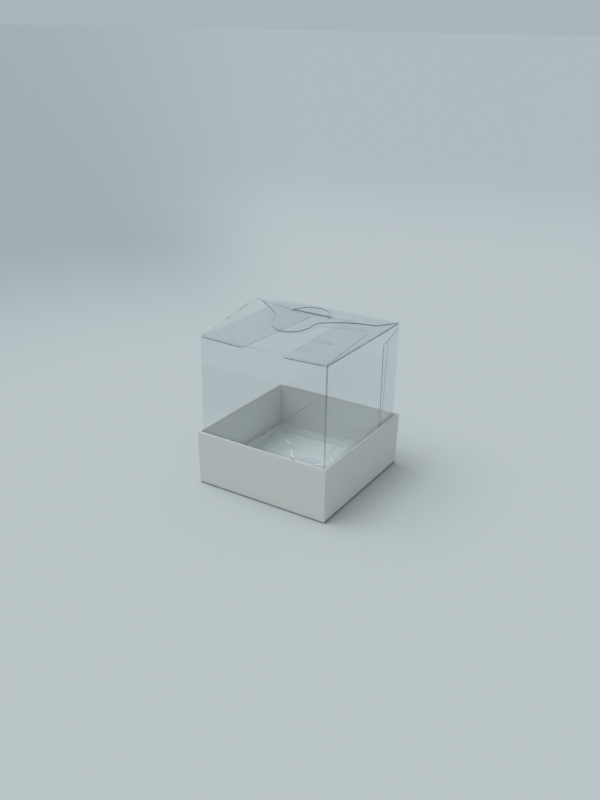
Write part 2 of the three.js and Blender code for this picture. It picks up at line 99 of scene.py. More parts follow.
class NodeSketch:
    """The node tree of a material or of the sky, with short calls that add nodes and join them."""

    def __init__(self, owner: bpy.types.Material | bpy.types.World) -> None:
        """Starts an empty tree.

        Args:
            owner: the new material or world that the tree belongs to.
        """
        owner.use_nodes = True
        self.owner = owner
        self.tree = owner.node_tree
        self.tree.nodes.clear()

    def add(self, kind: str, inputs: dict | None = None, **settings: object) -> bpy.types.Node:
        """Adds a node.

        Args:
            kind: the node's type.
            inputs: what each input socket takes, a value or another node's output.
            settings: the node's own properties.

        Returns:
            The new node.
        """
        node = self.tree.nodes.new(kind)
        for key, value in settings.items():
            setattr(node, key, value)
        for key, value in (inputs or {}).items():
            if isinstance(value, bpy.types.NodeSocket):
                self.tree.links.new(value, node.inputs[key])
            else:
                node.inputs[key].default_value = value
        return node

    def math(self, operation: str, *values: object) -> bpy.types.NodeSocket:
        """The result of a Math node, whose inputs are the values in order, numbers or sockets."""
        return self.add("ShaderNodeMath", dict(enumerate(values)), operation=operation).outputs[0]

    def ramp(self, value: bpy.types.NodeSocket, low: float, high: float) -> bpy.types.NodeSocket:
        """Share from 0 to 1 of the way from low to high, eased at both ends."""
        inputs = {"Value": value, "From Min": low, "From Max": high}
        return self.add("ShaderNodeMapRange", inputs, interpolation_type="SMOOTHSTEP").outputs[0]

    def blend(self, share: object, first: object, second: object) -> bpy.types.NodeSocket:
        """A colour that goes from first to second by share; both are colours or sockets."""
        first, second = ((*end, 1) if isinstance(end, tuple) else end for end in (first, second))
        return self.add("ShaderNodeMix", {0: share, 6: first, 7: second}, data_type="RGBA").outputs[2]

    def noise(self, scale: float, detail: float = 2.0) -> bpy.types.NodeSocket:
        """A noise pattern that is fixed to the piece.

        Args:
            scale: how many cells a metre holds.
            detail: the number of finer layers.

        Returns:
            The pattern's value, from 0 to 1.
        """
        place = self.add("ShaderNodeTexCoord").outputs["Object"]
        inputs = {"Vector": place, "Scale": scale, "Detail": detail}
        return self.add("ShaderNodeTexNoise", inputs).outputs["Fac"]

    def uneven(self, pattern: bpy.types.NodeSocket, middle: float, spread: float) -> bpy.types.NodeSocket:
        """A value that a pattern moves up and down round its middle."""
        return self.math("MULTIPLY_ADD", pattern, spread, middle - spread / 2)

    def bump(self, pattern: bpy.types.NodeSocket, strength: float, depth: float) -> bpy.types.NodeSocket:
        """The normal of a surface that a pattern raises and lowers."""
        inputs = {"Height": pattern, "Strength": strength, "Distance": depth}
        return self.add("ShaderNodeBump", inputs).outputs[0]

    def facing(self) -> bpy.types.NodeSocket:
        """0 where a surface is met head on, up to 1 where it is met edge on."""
        return self.add("ShaderNodeLayerWeight", {"Blend": 0.5}).outputs["Facing"]

    def entering(self) -> bpy.types.NodeSocket:
        """1 where a ray enters the sheet and 0 where it leaves it again."""
        return self.math("SUBTRACT", 1.0, self.add("ShaderNodeNewGeometry").outputs["Backfacing"])

    def see_through(self, tint: Colour) -> bpy.types.NodeSocket:
        """A shader that lets light pass straight on, with a tint."""
        return self.add("ShaderNodeBsdfTransparent", {"Color": (*tint, 1)}).outputs[0]

    def matt(self, colour: Colour) -> bpy.types.NodeSocket:
        """A plain matt shader."""
        return self.add("ShaderNodeBsdfDiffuse", {"Color": (*colour, 1)}).outputs[0]

    def opaque(self, colour: object, roughness: object, gloss: float,
               normal: bpy.types.NodeSocket | None = None) -> bpy.types.NodeSocket:
        """The shader of an opaque surface.

        Args:
            colour: its colour, or a socket that gives one.
            roughness: its roughness, a number or a socket.
            gloss: the strength of its highlights.
            normal: its bumped normal, where it has one.

        Returns:
            The shader's socket.
        """
        base = (*colour, 1) if isinstance(colour, tuple) else colour
        inputs = {"Base Color": base, "Roughness": roughness, "Specular IOR Level": gloss}
        if normal is not None:
            inputs["Normal"] = normal
        return self.add("ShaderNodeBsdfPrincipled", inputs).outputs[0]

    def mix(self, share: object, first: object, second: object) -> bpy.types.NodeSocket:
        """A shader that goes from first to second by share."""
        return self.add("ShaderNodeMixShader", {0: share, 1: first, 2: second}).outputs[0]

    def finish(self, shader: bpy.types.NodeSocket) -> bpy.types.Material | bpy.types.World:
        """Joins the shader to the output.

        Args:
            shader: what the surface or the sky shows.

        Returns:
            The finished material or world.
        """
        is_sky = isinstance(self.owner, bpy.types.World)
        self.add("ShaderNodeOutputWorld" if is_sky else "ShaderNodeOutputMaterial", {"Surface": shader})
        return self.owner


@dataclass(frozen=True)
class ClearSheetFinish:
    """Clear plastic sheet: see-through, with the mirror of a thin slab and faint marks of handling."""

    name: str = "clear_sheet"
    tint: Colour = (0.973, 0.976, 0.978)
    head_on: float = 0.047
    angle_power: float = 5.0
    roughness: float = 0.05
    ripple: float = 0.05
    ripples_per_metre: float = 55.0
    haze: float = 0.035
    haze_colour: Colour = (0.8, 0.85, 0.88)
    smudges_per_metre: float = 120.0
    smudge_detail: float = 4.0

    def mirror_share(self, sketch: NodeSketch) -> bpy.types.NodeSocket:
        """What a slab mirrors where a ray enters it, by the angle at which it is met.

        Args:
            sketch: the material that the nodes go into.

        Returns:
            The share that is mirrored. It is 0 where the ray leaves the sheet again.
        """
        steepness = sketch.math("POWER", sketch.facing(), self.angle_power)
        one_face = sketch.math("MULTIPLY_ADD", steepness, 1.0 - self.head_on, self.head_on)
        both_faces = sketch.math("DIVIDE", sketch.math("MULTIPLY", one_face, 2.0),
                                 sketch.math("ADD", one_face, 1.0))
        return sketch.math("MULTIPLY", both_faces, sketch.entering())

    def mirror(self, sketch: NodeSketch) -> bpy.types.NodeSocket:
        """The sheet's gloss, a little wavy as drawn sheet is.

        Args:
            sketch: the material that the nodes go into.

        Returns:
            The gloss as a shader's socket.
        """
        wavy = sketch.bump(sketch.noise(self.ripples_per_metre), self.ripple, MM)
        inputs = {"Color": (1, 1, 1, 1), "Roughness": self.roughness, "Normal": wavy}
        return sketch.add("ShaderNodeBsdfAnisotropic", inputs).outputs[0]

    def material(self) -> bpy.types.Material:
        """Builds the material.

        Returns:
            The new material.
        """
        sketch = NodeSketch(bpy.data.materials.new(self.name))
        clear, milky = sketch.see_through(self.tint), sketch.matt(self.haze_colour)
        smudges = sketch.noise(self.smudges_per_metre, self.smudge_detail)
        body = sketch.mix(sketch.math("MULTIPLY", smudges, self.haze), clear, milky)
        return sketch.finish(sketch.mix(self.mirror_share(sketch), body, self.mirror(sketch)))


@dataclass(frozen=True)
class CutEdgeFinish:
    """Die-cut edge of the clear sheet, which shows as a thin line, dark or light as the light meets it."""

    name: str
    colour: Colour
    density: float
    density_spread: float = 0.3
    patches_per_metre: float = 400.0
    tint: Colour = (0.95, 0.95, 0.96)
    roughness: float = 0.5
    gloss: float = 0.15

    def material(self) -> bpy.types.Material:
        """Builds the material.

        Returns:
            The new material.
        """
        sketch = NodeSketch(bpy.data.materials.new(self.name))
        line = sketch.opaque(self.colour, self.roughness, self.gloss)
        patches = sketch.noise(self.patches_per_metre)
        share = sketch.uneven(patches, self.density, self.density_spread)
        return sketch.finish(sketch.mix(share, sketch.see_through(self.tint), line))


@dataclass(frozen=True)
class FoldLineFinish:
    """Rounded fold of the clear sheet, which turns light aside where it is seen head on."""

    name: str
    density: float
    sharpness: float
    colour: Colour = (0.05, 0.075, 0.09)
    density_spread: float = 0.4
    patches_per_metre: float = 250.0
    sheet: ClearSheetFinish = field(default_factory=ClearSheetFinish)

    def material(self) -> bpy.types.Material:
        """Builds the material.

        Returns:
            The new material.
        """
        sketch = NodeSketch(bpy.data.materials.new(self.name))
        head_on = sketch.math("POWER", sketch.math("SUBTRACT", 1.0, sketch.facing()), self.sharpness)
        patches = sketch.noise(self.patches_per_metre)
        density = sketch.uneven(patches, self.density, self.density_spread)
        share = sketch.math("MULTIPLY", sketch.math("MULTIPLY", head_on, sketch.entering()), density)
        body = sketch.mix(share, sketch.see_through(self.sheet.tint), sketch.matt(self.colour))
        return sketch.finish(sketch.mix(self.sheet.mirror_share(sketch), body, self.sheet.mirror(sketch)))


@dataclass(frozen=True)
class CreaseHighlightFinish:
    """Painted highlight: a milky white mark that stands for the glint on clear sheet where it is bent."""

    name: str = "painted_crease_highlight"
    colour: Colour = (0.97, 0.99, 0.98)
    density: float = 0.95
    density_spread: float = 0.5
    patches_per_metre: float = 500.0
    patch_detail: float = 3.0
    tint: Colour = (1.0, 1.0, 1.0)
    roughness: float = 0.35
    gloss: float = 0.5

    def material(self) -> bpy.types.Material:
        """Builds the material.

        Returns:
            The new material.
        """
        sketch = NodeSketch(bpy.data.materials.new(self.name))
        milky = sketch.opaque(self.colour, self.roughness, self.gloss)
        patches = sketch.noise(self.patches_per_metre, self.patch_detail)
        share = sketch.uneven(patches, self.density, self.density_spread)
        return sketch.finish(sketch.mix(share, sketch.see_through(self.tint), milky))


@dataclass(frozen=True)
class CardFinish:
    """Smooth white card: matt, with a faint cloudiness and fibres."""

    name: str = "white_card"
    colour: Colour = (0.698, 0.712, 0.690)
    darkest: float = 0.965
    lightest: float = 1.03
    clouds_per_metre: float = 90.0
    cloud_detail: float = 3.0
    cloud_share: float = 0.6
    fibres_per_metre: float = 2600.0
    fibre_detail: float = 4.0
    fibre_relief: float = 0.08
    fibre_depth: float = 0.02 * MM
    roughness: float = 0.72
    roughness_spread: float = 0.1
    gloss: float = 0.35

    def material(self) -> bpy.types.Material:
        """Builds the material.

        Returns:
            The new material.
        """
        sketch = NodeSketch(bpy.data.materials.new(self.name))
        cloud = sketch.noise(self.clouds_per_metre, self.cloud_detail)
        fibre = sketch.noise(self.fibres_per_metre, self.fibre_detail)
        fibre_part = sketch.math("MULTIPLY", fibre, 1.0 - self.cloud_share)
        tone = sketch.math("MULTIPLY_ADD", cloud, self.cloud_share, fibre_part)
        dark = tuple(c * self.darkest for c in self.colour)
        light = tuple(c * self.lightest for c in self.colour)
        roughness = sketch.uneven(cloud, self.roughness, self.roughness_spread)
        relief = sketch.bump(fibre, self.fibre_relief, self.fibre_depth)
        return sketch.finish(sketch.opaque(sketch.blend(tone, dark, light), roughness, self.gloss, relief))


@dataclass(frozen=True)
class FloorFinish:
    """Pale matt floor with painted shade: it grows a little darker far from the box, and more so to the
    left.
    """

    name: str = "pale_floor"
    near: Colour = (0.468, 0.510, 0.522)
    far: Colour = (0.412, 0.456, 0.478)
    left: Colour = (0.335, 0.385, 0.405)
    near_radius: float = 0.3
    far_radius: float = 0.8
    left_direction: tuple[float, float, float] = (-0.852, -0.524, 0.0)
    left_share: float = 0.36
    left_near: float = 0.12
    left_far: float = 0.4
    roughness: float = 0.9
    gloss: float = 0.2

    def material(self) -> bpy.types.Material:
        """Builds the material.

        Returns:
            The new material.
        """
        sketch = NodeSketch(bpy.data.materials.new(self.name))
        place = sketch.add("ShaderNodeTexCoord").outputs["Object"]
        distance = sketch.add("ShaderNodeVectorMath", {0: place}, operation="LENGTH").outputs["Value"]
        inputs = {0: place, 1: self.left_direction}
        reach = sketch.add("ShaderNodeVectorMath", inputs, operation="DOT_PRODUCT").outputs["Value"]
        turned = sketch.ramp(sketch.math("DIVIDE", reach, distance), 0.0, self.left_share)
        away = sketch.ramp(distance, self.left_near, self.left_far)
        # painted shade: darker with distance from the box and towards the left
        colour = sketch.blend(sketch.ramp(distance, self.near_radius, self.far_radius), self.near, self.far)
        colour = sketch.blend(sketch.math("MULTIPLY", turned, away), colour, self.left)
        return sketch.finish(sketch.opaque(colour, self.roughness, self.gloss))


class FinishShelf:
    """Every finish of the box, each built once."""

    def __init__(self) -> None:
        """Builds the materials."""
        self.sheet = ClearSheetFinish().material()
        # painted shade: the top flaps take a greyer tint than the same sheet elsewhere
        top_sheet = ClearSheetFinish("clear_top_flap_painted_shade", tint=(0.950, 0.961, 0.961))
        # painted light: the bottom flaps take a clearer tint and a heavier milky haze, which brighten the
        # tray's floor seen through them
        bottom_sheet = ClearSheetFinish("clear_bottom_flap_painted_light", tint=(0.990, 0.995, 0.996), haze=0.16)
        self.flap_sheets = {End.TOP: top_sheet.material(), End.BOTTOM: bottom_sheet.material()}
        dark, light = (0.025, 0.045, 0.06), (0.9, 0.93, 0.94)
        self.cut_edge = CutEdgeFinish("dark_cut_edge", dark, density=0.85).material()
        self.faint_edge = CutEdgeFinish("faint_cut_edge", dark, density=0.28).material()
        # painted highlight: a pale line for cut edges that catch the light
        self.highlight_edge = CutEdgeFinish("painted_highlight_edge", light, density=0.45).material()
        self.upright_fold = FoldLineFinish("upright_fold", density=0.95, sharpness=6.0).material()
        self.dark_fold = FoldLineFinish("dark_flap_fold", density=1.15, sharpness=0.6,
                                        colour=(0.012, 0.025, 0.035)).material()
        self.faint_fold = FoldLineFinish("faint_flap_fold", density=0.25, sharpness=1.5).material()
        # painted highlights: white marks that stand for glints on the bent sheet round the bottom slit
        self.crease_highlight = CreaseHighlightFinish().material()
        self.card = CardFinish().material()
        # painted shade: a darker copy of the card on the rolled rim, which tones down the light on its top
        self.card_rim_painted_shade = CardFinish("card_rim_painted_shade", colour=(0.56, 0.58, 0.565)).material()
        # painted light: a lighter copy of the card for the base, which brightens the shade inside the tray
        self.card_base_painted_light = CardFinish("card_base_painted_light", colour=(0.82, 0.86, 0.855)).material()
        # painted light: a lighter copy of the card for the inner panels, which brightens the shade inside
        # the tray
        self.card_inside_painted_light = CardFinish("card_inside_painted_light", colour=(0.76, 0.78, 0.755)).material()
        # painted contact shadow: a near-black copy of the card for the fold at the tray's foot
        self.card_foot_painted_shadow = CardFinish("card_foot_painted_shadow", colour=(0.16, 0.17, 0.175)).material()

    def with_fold(self, fold: bpy.types.Material, sheet: bpy.types.Material) -> list[bpy.types.Material]:
        """The clear sheet's finishes in the order of the zones, with those for the fold and the sheet."""
        return [sheet, self.cut_edge, fold, self.faint_edge, self.highlight_edge]


# Thin sheet pieces


class Pattern:
    """A closed outline on the flat sheet, drawn with straight and round stretches."""

    fewest = 6  # points of a round stretch

    def __init__(self, start: tuple[float, float], step: float = 0.5 * MM) -> None:
        """Starts the outline.

        Args:
            start: its first point, in metres.
            step: about how far apart its points are.
        """
        self.step = step
        self.points = [Vector(start)]

    def line(self, end: tuple[float, float]) -> "Pattern":
        """Draws straight to a point.

        Args:
            end: the point.

        Returns:
            The pattern itself.
        """
        start, finish = self.points[-1].copy(), Vector(end)
        count = max(1, round((finish - start).length / self.step))
        self.points += [start.lerp(finish, i / count) for i in range(1, count + 1)]
        return self

    def arc(self, centre: tuple[float, float], radius: float, start: float, end: float) -> "Pattern":
        """Draws straight to an arc's start and then round it.

        Args:
            centre: the arc's centre.
            radius: its radius.
            start: the angle of its first point, in degrees.
            end: the angle of its last point.

        Returns:
            The pattern itself.
        """
        middle = Vector(centre)
        count = max(self.fewest, round(abs(math.radians(end - start)) * radius / self.step))
        turned = [middle + radius * Vector((math.cos(a), math.sin(a)))
                  for a in (math.radians(angle) for angle in steps(start, end, count))]
        if (turned[0] - self.points[-1]).length > SAME_POINT:
            self.line(tuple(turned[0]))
        self.points += turned[1:]
        return self

    def curve(self, pull: tuple[float, float], end: tuple[float, float]) -> "Pattern":
        """Draws a curve.

        Args:
            pull: the point that it starts towards.
            end: the point where it ends, coming from that point.

        Returns:
            The pattern itself.
        """
        start, middle, finish = self.points[-1].copy(), Vector(pull), Vector(end)
        count = max(self.fewest, round((finish - start).length / self.step))
        for share in steps(0.0, 1.0, count)[1:]:
            near, far = start.lerp(middle, share), middle.lerp(finish, share)
            self.points.append(near.lerp(far, share))
        return self

    def closed(self) -> list[Vector]:
        """The outline's points, without a second copy of the first."""
        last = self.points[-1]
        return self.points[:-1] if (last - self.points[0]).length < SAME_POINT else self.points


def is_inside(point: Vector, loop: Sequence[Vector]) -> bool:
    """Tells whether a point lies inside a closed loop.

    Args:
        point: the point.
        loop: the loop's points in order.

    Returns:
        True if it does.
    """
    found = False
    before = loop[-1]
    for here in loop:
        if (here.y > point.y) != (before.y > point.y):
            crossing = (before.x - here.x) * (point.y - here.y) / (before.y - here.y) + here.x
            if point.x < crossing:
                found = not found
        before = here
    return found


@dataclass
class SheetPiece:
    """One panel of a folded blank: a flat pattern, and the rule by which it is bent.

    The zone rules tell a face's or an edge's finish by the middle of it on the pattern. A one-sided
    piece shows its zones only on the side that its normal points to.
    """

    name: str
    surface: Surface
    half_thickness: Measure
    face_zone: ZoneRule = lambda u, v: Zone.FACE
    edge_zone: ZoneRule = lambda u, v: Zone.CUT_EDGE
    one_sided: bool = False
    inner_margin: float = 0.3 * MM
    nudge: float = 0.01 * MM
    weld: float = 1e-5

    def normal(self, u: float, v: float) -> Vector:
        """The direction square to the bent sheet.

        Args:
            u: a point's place on the pattern, along its first direction.
            v: the same along the second.

        Returns:
            The direction, one long.
        """
        along = self.surface(u + self.nudge, v) - self.surface(u - self.nudge, v)
        across = self.surface(u, v + self.nudge) - self.surface(u, v - self.nudge)
        return along.cross(across).normalized()

    def from_grid(self, us: Sequence[float], vs: Sequence[float]) -> bpy.types.Object:
        """Builds the piece from a pattern that is a rectangle.

        Args:
            us: the pattern's lines along its first side, in order.
            vs: its lines along the second side.

        Returns:
            The piece as an object.
        """
        points = [(u, v) for v in vs for u in us]
        width = len(us)
        faces = [(row * width + i, row * width + i + 1, (row + 1) * width + i + 1, (row + 1) * width + i)
                 for row in range(len(vs) - 1) for i in range(width - 1)]
        return self.solid(points, faces)

    def from_outline(self, outline: list[Vector], us: Sequence[float], vs: Sequence[float],
                     holes: Sequence[list[Vector]] = ()) -> bpy.types.Object:
        """Builds the piece from a pattern with any outline.

        Args:
            outline: the pattern's outer loop.
            us: where inner points lie along the first direction.
            vs: where inner points lie along the second direction.
            holes: loops that are cut out.

        Returns:
            The piece as an object.
        """
        loops = [outline, *holes]
        corners = [point for loop in loops for point in loop]
        tree = kdtree.KDTree(len(corners))
        for index, point in enumerate(corners):
            tree.insert(point.to_3d(), index)
        tree.balance()

        def on_sheet(point: Vector) -> bool:
            """True if the point lies on the sheet and not in a hole."""
            return is_inside(point, outline) and not any(is_inside(point, hole) for hole in holes)

        inner = [Vector((u, v)) for v in vs for u in us]
        inner = [p for p in inner if tree.find(p.to_3d())[2] > self.inner_margin and on_sheet(p)]
        edges = []
        for loop in loops:
            first = len(edges)
            edges += [(first + i, first + (i + 1) % len(loop)) for i in range(len(loop))]
        scaled = [point / MM for point in corners + inner]
        found, _, faces, *_ = geometry.delaunay_2d_cdt(scaled, edges, [], 0, self.weld)
        points = [(p.x * MM, p.y * MM) for p in found]
        kept = []
        for face in faces:
            middle = sum((found[i] for i in face), Vector((0, 0))) / len(face) * MM
            if on_sheet(middle):
                kept.append(tuple(face))
        return self.solid(points, kept)

    def solid(self, points: Sequence[tuple[float, float]],
              faces: Sequence[tuple[int, ...]]) -> bpy.types.Object:
        """Gives the bent pattern its thickness.

        Args:
            points: the pattern's points.
            faces: its faces, anticlockwise, as places in the list of points.

        Returns:
            The closed sheet as an object.
        """
        upper, lower = [], []
        for u, v in points:
            middle, reach = self.surface(u, v), self.normal(u, v) * self.half_thickness(u, v)
            upper.append(middle + reach)
            lower.append(middle - reach)
        count = len(points)
        sides = {(face[i - 1], face[i]) for face in faces for i in range(len(face))}
        rim = sorted((a, b) for a, b in sides if (b, a) not in sides)
        polygons = [*faces, *(tuple(i + count for i in reversed(face)) for face in faces)]
        polygons += [(b, a, a + count, b + count) for a, b in rim]
        mesh = bpy.data.meshes.new(self.name)
        mesh.from_pydata(upper + lower, [], polygons)
        upper_zones = [self.face_zone(*self.centre(points, face)) for face in faces]
        zones = upper_zones + ([Zone.FACE] * len(faces) if self.one_sided else upper_zones)
        zones += [self.edge_zone(*self.centre(points, edge)) for edge in rim]
        mesh.polygons.foreach_set("material_index", [int(zone) for zone in zones])
        mesh.polygons.foreach_set("use_smooth", [True] * len(polygons))
        rim_points = {frozenset(edge) for edge in rim}
        rim_points |= {frozenset((a + count, b + count)) for a, b in rim}
        for edge in mesh.edges:
            edge.use_edge_sharp = frozenset(edge.vertices) in rim_points
        mesh.update()
        mesh.validate()
        piece = bpy.data.objects.new(self.name, mesh)
        bpy.context.scene.collection.objects.link(piece)
        return piece

    @staticmethod
    def centre(points: Sequence[tuple[float, float]], corners: Sequence[int]) -> tuple[float, float]:
        """The middle of a face or an edge on the pattern."""
        return (sum(points[i][0] for i in corners) / len(corners),
                sum(points[i][1] for i in corners) / len(corners))


def dress(piece: bpy.types.Object, finishes: Sequence[bpy.types.Material], body: str, slot: str,
          *nodes: str) -> bpy.types.Object:
    """Gives a piece its finishes and its place on a body.

    Args:
        piece: the new piece.
        finishes: its materials, in the order of the zones.
        body: the body that it moves with.
        slot: the record's material slot; not used.
        nodes: the CAD nodes that it stands for.

    Returns:
        The piece itself.
    """
    for finish in finishes:
        piece.data.materials.append(finish)
    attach(piece, body)
    if nodes:
        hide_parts(*nodes)
    log.info("%s rides on %s, %d faces", piece.name, body, len(piece.data.polygons))
    return piece


# The sleeve


def hinge(name: str) -> Vector:
    """The place of a joint of the frame.

    Args:
        name: the joint's name.

    Returns:
        A point on its axis.
    """
    return Vector(next(joint["pos_m"] for joint in frame["joints"] if joint["name"] == name))


@dataclass
class SleeveSizes:
    """Sizes that every panel of the sleeve shares, in metres."""

    sheet: float = 0.28 * MM
    upright_radius: float = 0.5 * MM
    root_radius: float = 0.2 * MM
    nose_bend_radius: float = 16 * MM
    wall_steps: int = 36
    flap_steps: int = 48
    half_width: float = field(init=False)
    half_depth: float = field(init=False)
    low: float = field(init=False)
    high: float = field(init=False)
    main_fold_y: float = field(init=False)
    dust_fold_x: float = field(init=False)

    def __post_init__(self) -> None:
        """Takes the places of walls and fold lines from the frame."""
        front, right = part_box("sleeve_front_wall"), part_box("sleeve_right_wall")
        self.half_width = right[1].x
        self.half_depth = -front[0].y
        self.low, self.high = front[0].z, front[1].z
        self.main_fold_y = hinge("top_back_flap_fold").y
        self.dust_fold_x = hinge("top_right_dust_flap_fold").x


@dataclass(frozen=True)
class Wave:
    """The slight wave of a thin flap, which dies out towards its fold line."""

    seed: float
    per_metre: float = 60.0
    height: float = 0.05 * MM
    fade: float = 6 * MM

    def at(self, across: float, along: float) -> float:
        """The wave's height at a place along the fold line and a distance from it."""
        pattern = noise.noise(Vector((across * self.per_metre, along * self.per_metre, self.seed)))
        return pattern * self.height * smooth_step(0, self.fade, along)


@dataclass
class SleeveWalls:
    """The four walls of the clear sleeve and its glue tab."""

    sizes: SleeveSizes
    finishes: FinishShelf
    body: str = "sleeve"
    fold_steps: int = 10
    bow: float = 0.16 * MM
    bow_fade: float = 12 * MM
    tray_rim: float = 21 * MM
    ripples_per_metre: float = 45.0
    ripple_share: float = 0.5
    ripple_seed: float = 7.0
    tab_steps: int = 8
    tab_width: float = 11.5 * MM
    tab_end_near: float = 1.6 * MM
    tab_end_far: float = 4.9 * MM
    tab_ease: float = 0.02 * MM
    tab_hidden_turn: float = 0.9
    bead_inset: float = 1.2 * MM
    bead_lean: float = 2.2 * MM
    bead_width: float = 0.35 * MM
    bead_thickness: float = 0.08 * MM

    def build(self) -> None:
        """Builds the walls and the glue tab."""
        size = self.sizes
        fold, width, depth = size.upright_radius, 2 * size.half_width, 2 * size.half_depth
        self.wall("front", Vector((-size.half_width, -size.half_depth, 0)), 0, fold, width, True)
        self.wall("right", Vector((size.half_width, -size.half_depth, 0)), 1, fold, depth, False)
        self.wall("back", Vector((size.half_width, size.half_depth, 0)), 2, fold + size.sheet, width, True)
        self.wall("left", Vector((-size.half_width, size.half_depth, 0)), 3, fold, depth, True)
        self.glue_tab()

    def wall(self, side: str, corner: Vector, quarter_turns: int, start: float, length: float,
             folded: bool) -> None:
        """Builds one wall.

        Args:
            side: its side's name.
            corner: the sleeve's corner where the wall starts.
            quarter_turns: which way it runs from there.
            start: distance from the corner to its first edge.
            length: distance from the corner to its far end.
            folded: whether its far end has the upright fold.
        """
        size = self.sizes
        place = Matrix.Translation(corner) @ Matrix.Rotation(quarter_turns * math.pi / 2, 4, "Z")
        radius, half = size.upright_radius, size.sheet / 2
        flat_end = length - radius if folded else length
        turn_length = (radius - half) * math.pi / 2

        def surface(u: float, v: float) -> Vector:
            """Where a point of the wall lies, flat or round the fold.

            Args:
                u: its distance along the wall.
                v: its height.

            Returns:
                The point.
            """
            if u <= flat_end:
                share = math.sin(math.pi * (u - start) / (flat_end - start))
                free = smooth_step(self.tray_rim, self.tray_rim + self.bow_fade, v)
                free *= 1.0 - smooth_step(size.high - self.bow_fade, size.high, v)
                across, up = u * self.ripples_per_metre, v * self.ripples_per_metre
                ripple = noise.noise(Vector((across, up, quarter_turns * self.ripple_seed)))
                bow = self.bow * share * free * (1 + ripple * self.ripple_share)
                return place @ Vector((u, half - bow, v))
            angle = (u - flat_end) / (radius - half)
            around = Vector((math.sin(angle), -math.cos(angle), 0)) * (radius - half)
            return place @ (Vector((flat_end, radius, v)) + around)

        def face_zone(u: float, v: float) -> Zone:
            """The fold takes a finish of its own."""
            return Zone.FOLD if u > flat_end else Zone.FACE

        piece = SheetPiece(f"clear_{side}_wall", surface, lambda u, v: half, face_zone,
                           lambda u, v: Zone.FACE, one_sided=True)
        us = steps(start, flat_end, size.wall_steps)
        if folded:
            us += steps(flat_end, flat_end + turn_length, self.fold_steps)[1:]
        made = piece.from_grid(us, steps(size.low, size.high, size.wall_steps))
        finishes = self.finishes.with_fold(self.finishes.upright_fold, self.finishes.sheet)
        dress(made, finishes, self.body, "clear_sheet", f"sleeve_{side}_wall")

    def glue_tab(self) -> None:
        """Builds the tab that turns forwards from the back wall and is glued inside the right wall."""
        size = self.sizes
        radius, half = size.upright_radius, size.sheet / 2 - self.tab_ease
        outer = size.half_width - size.sheet
        bend = radius - half
        turn_length = bend * math.pi / 2
        flat_start = size.half_depth - radius
        length = self.tab_width - radius
        middle = outer - self.tab_ease - half

        def surface(u: float, v: float) -> Vector:
            """Where a point of the tab lies.

            Args:
                u: its distance in front of the fold, or round the fold where that is negative.
                v: its height.

            Returns:
                The point.
            """
            if u >= 0:
                return Vector((middle, flat_start - u, v))
            angle = -u / bend
            return Vector((middle - bend + bend * math.cos(angle), flat_start + bend * math.sin(angle), v))

        low, high = size.low, size.high
        near, far = self.tab_end_near, self.tab_end_far
        outline = Pattern((-turn_length, low + near))
        outline.line((0, low + near)).line((length, low + far)).line((length, high - far))
        outline.line((0, high - near)).line((-turn_length, high - near)).line((-turn_length, low + near))
        hidden = self.tab_hidden_turn * turn_length
        piece = SheetPiece("clear_glue_tab", surface, lambda u, v: half,
                           lambda u, v: Zone.FOLD if u < 0 else Zone.FACE,
                           lambda u, v: Zone.FACE if u < -hidden else Zone.CUT_EDGE)
        us = steps(-turn_length, 0, self.tab_steps) + steps(0, length, self.tab_steps)[1:]
        made = piece.from_outline(outline.closed(), us, steps(low + near, high - near, size.wall_steps))
        finishes = self.finishes.with_fold(self.finishes.sheet, self.finishes.sheet)
        dress(made, finishes, self.body, "clear_sheet", "sleeve_glue_tab")
        self.glue_bead(middle - half, flat_start - length)

    def glue_bead(self, inner_face: float, tab_edge: float) -> None:
        """Builds the thin ridge of glue inside the tab's front edge.

        Args:
            inner_face: distance from the middle to the tab's inner face.
            tab_edge: distance from the middle to the tab's front edge.
        """
        low, high = self.sizes.low + self.tab_end_far, self.sizes.high - self.tab_end_far
        half = self.bead_thickness / 2

        def surface(across: float, height: float) -> Vector:
            """A point of the bead, which leans back a little towards the top."""
            lean = self.bead_lean * (height - low) / (high - low)
            return Vector((inner_face - half, tab_edge + self.bead_inset + lean + across, height))

        piece = SheetPiece("clear_glue_bead", surface, lambda u, v: half, lambda u, v: Zone.FAINT_EDGE,
                           lambda u, v: Zone.FAINT_EDGE)
        made = piece.from_grid(steps(0, self.bead_width, 2), steps(low, high, self.sizes.wall_steps))
        finishes = self.finishes.with_fold(self.finishes.sheet, self.finishes.sheet)
        dress(made, finishes, self.body, "clear_sheet")


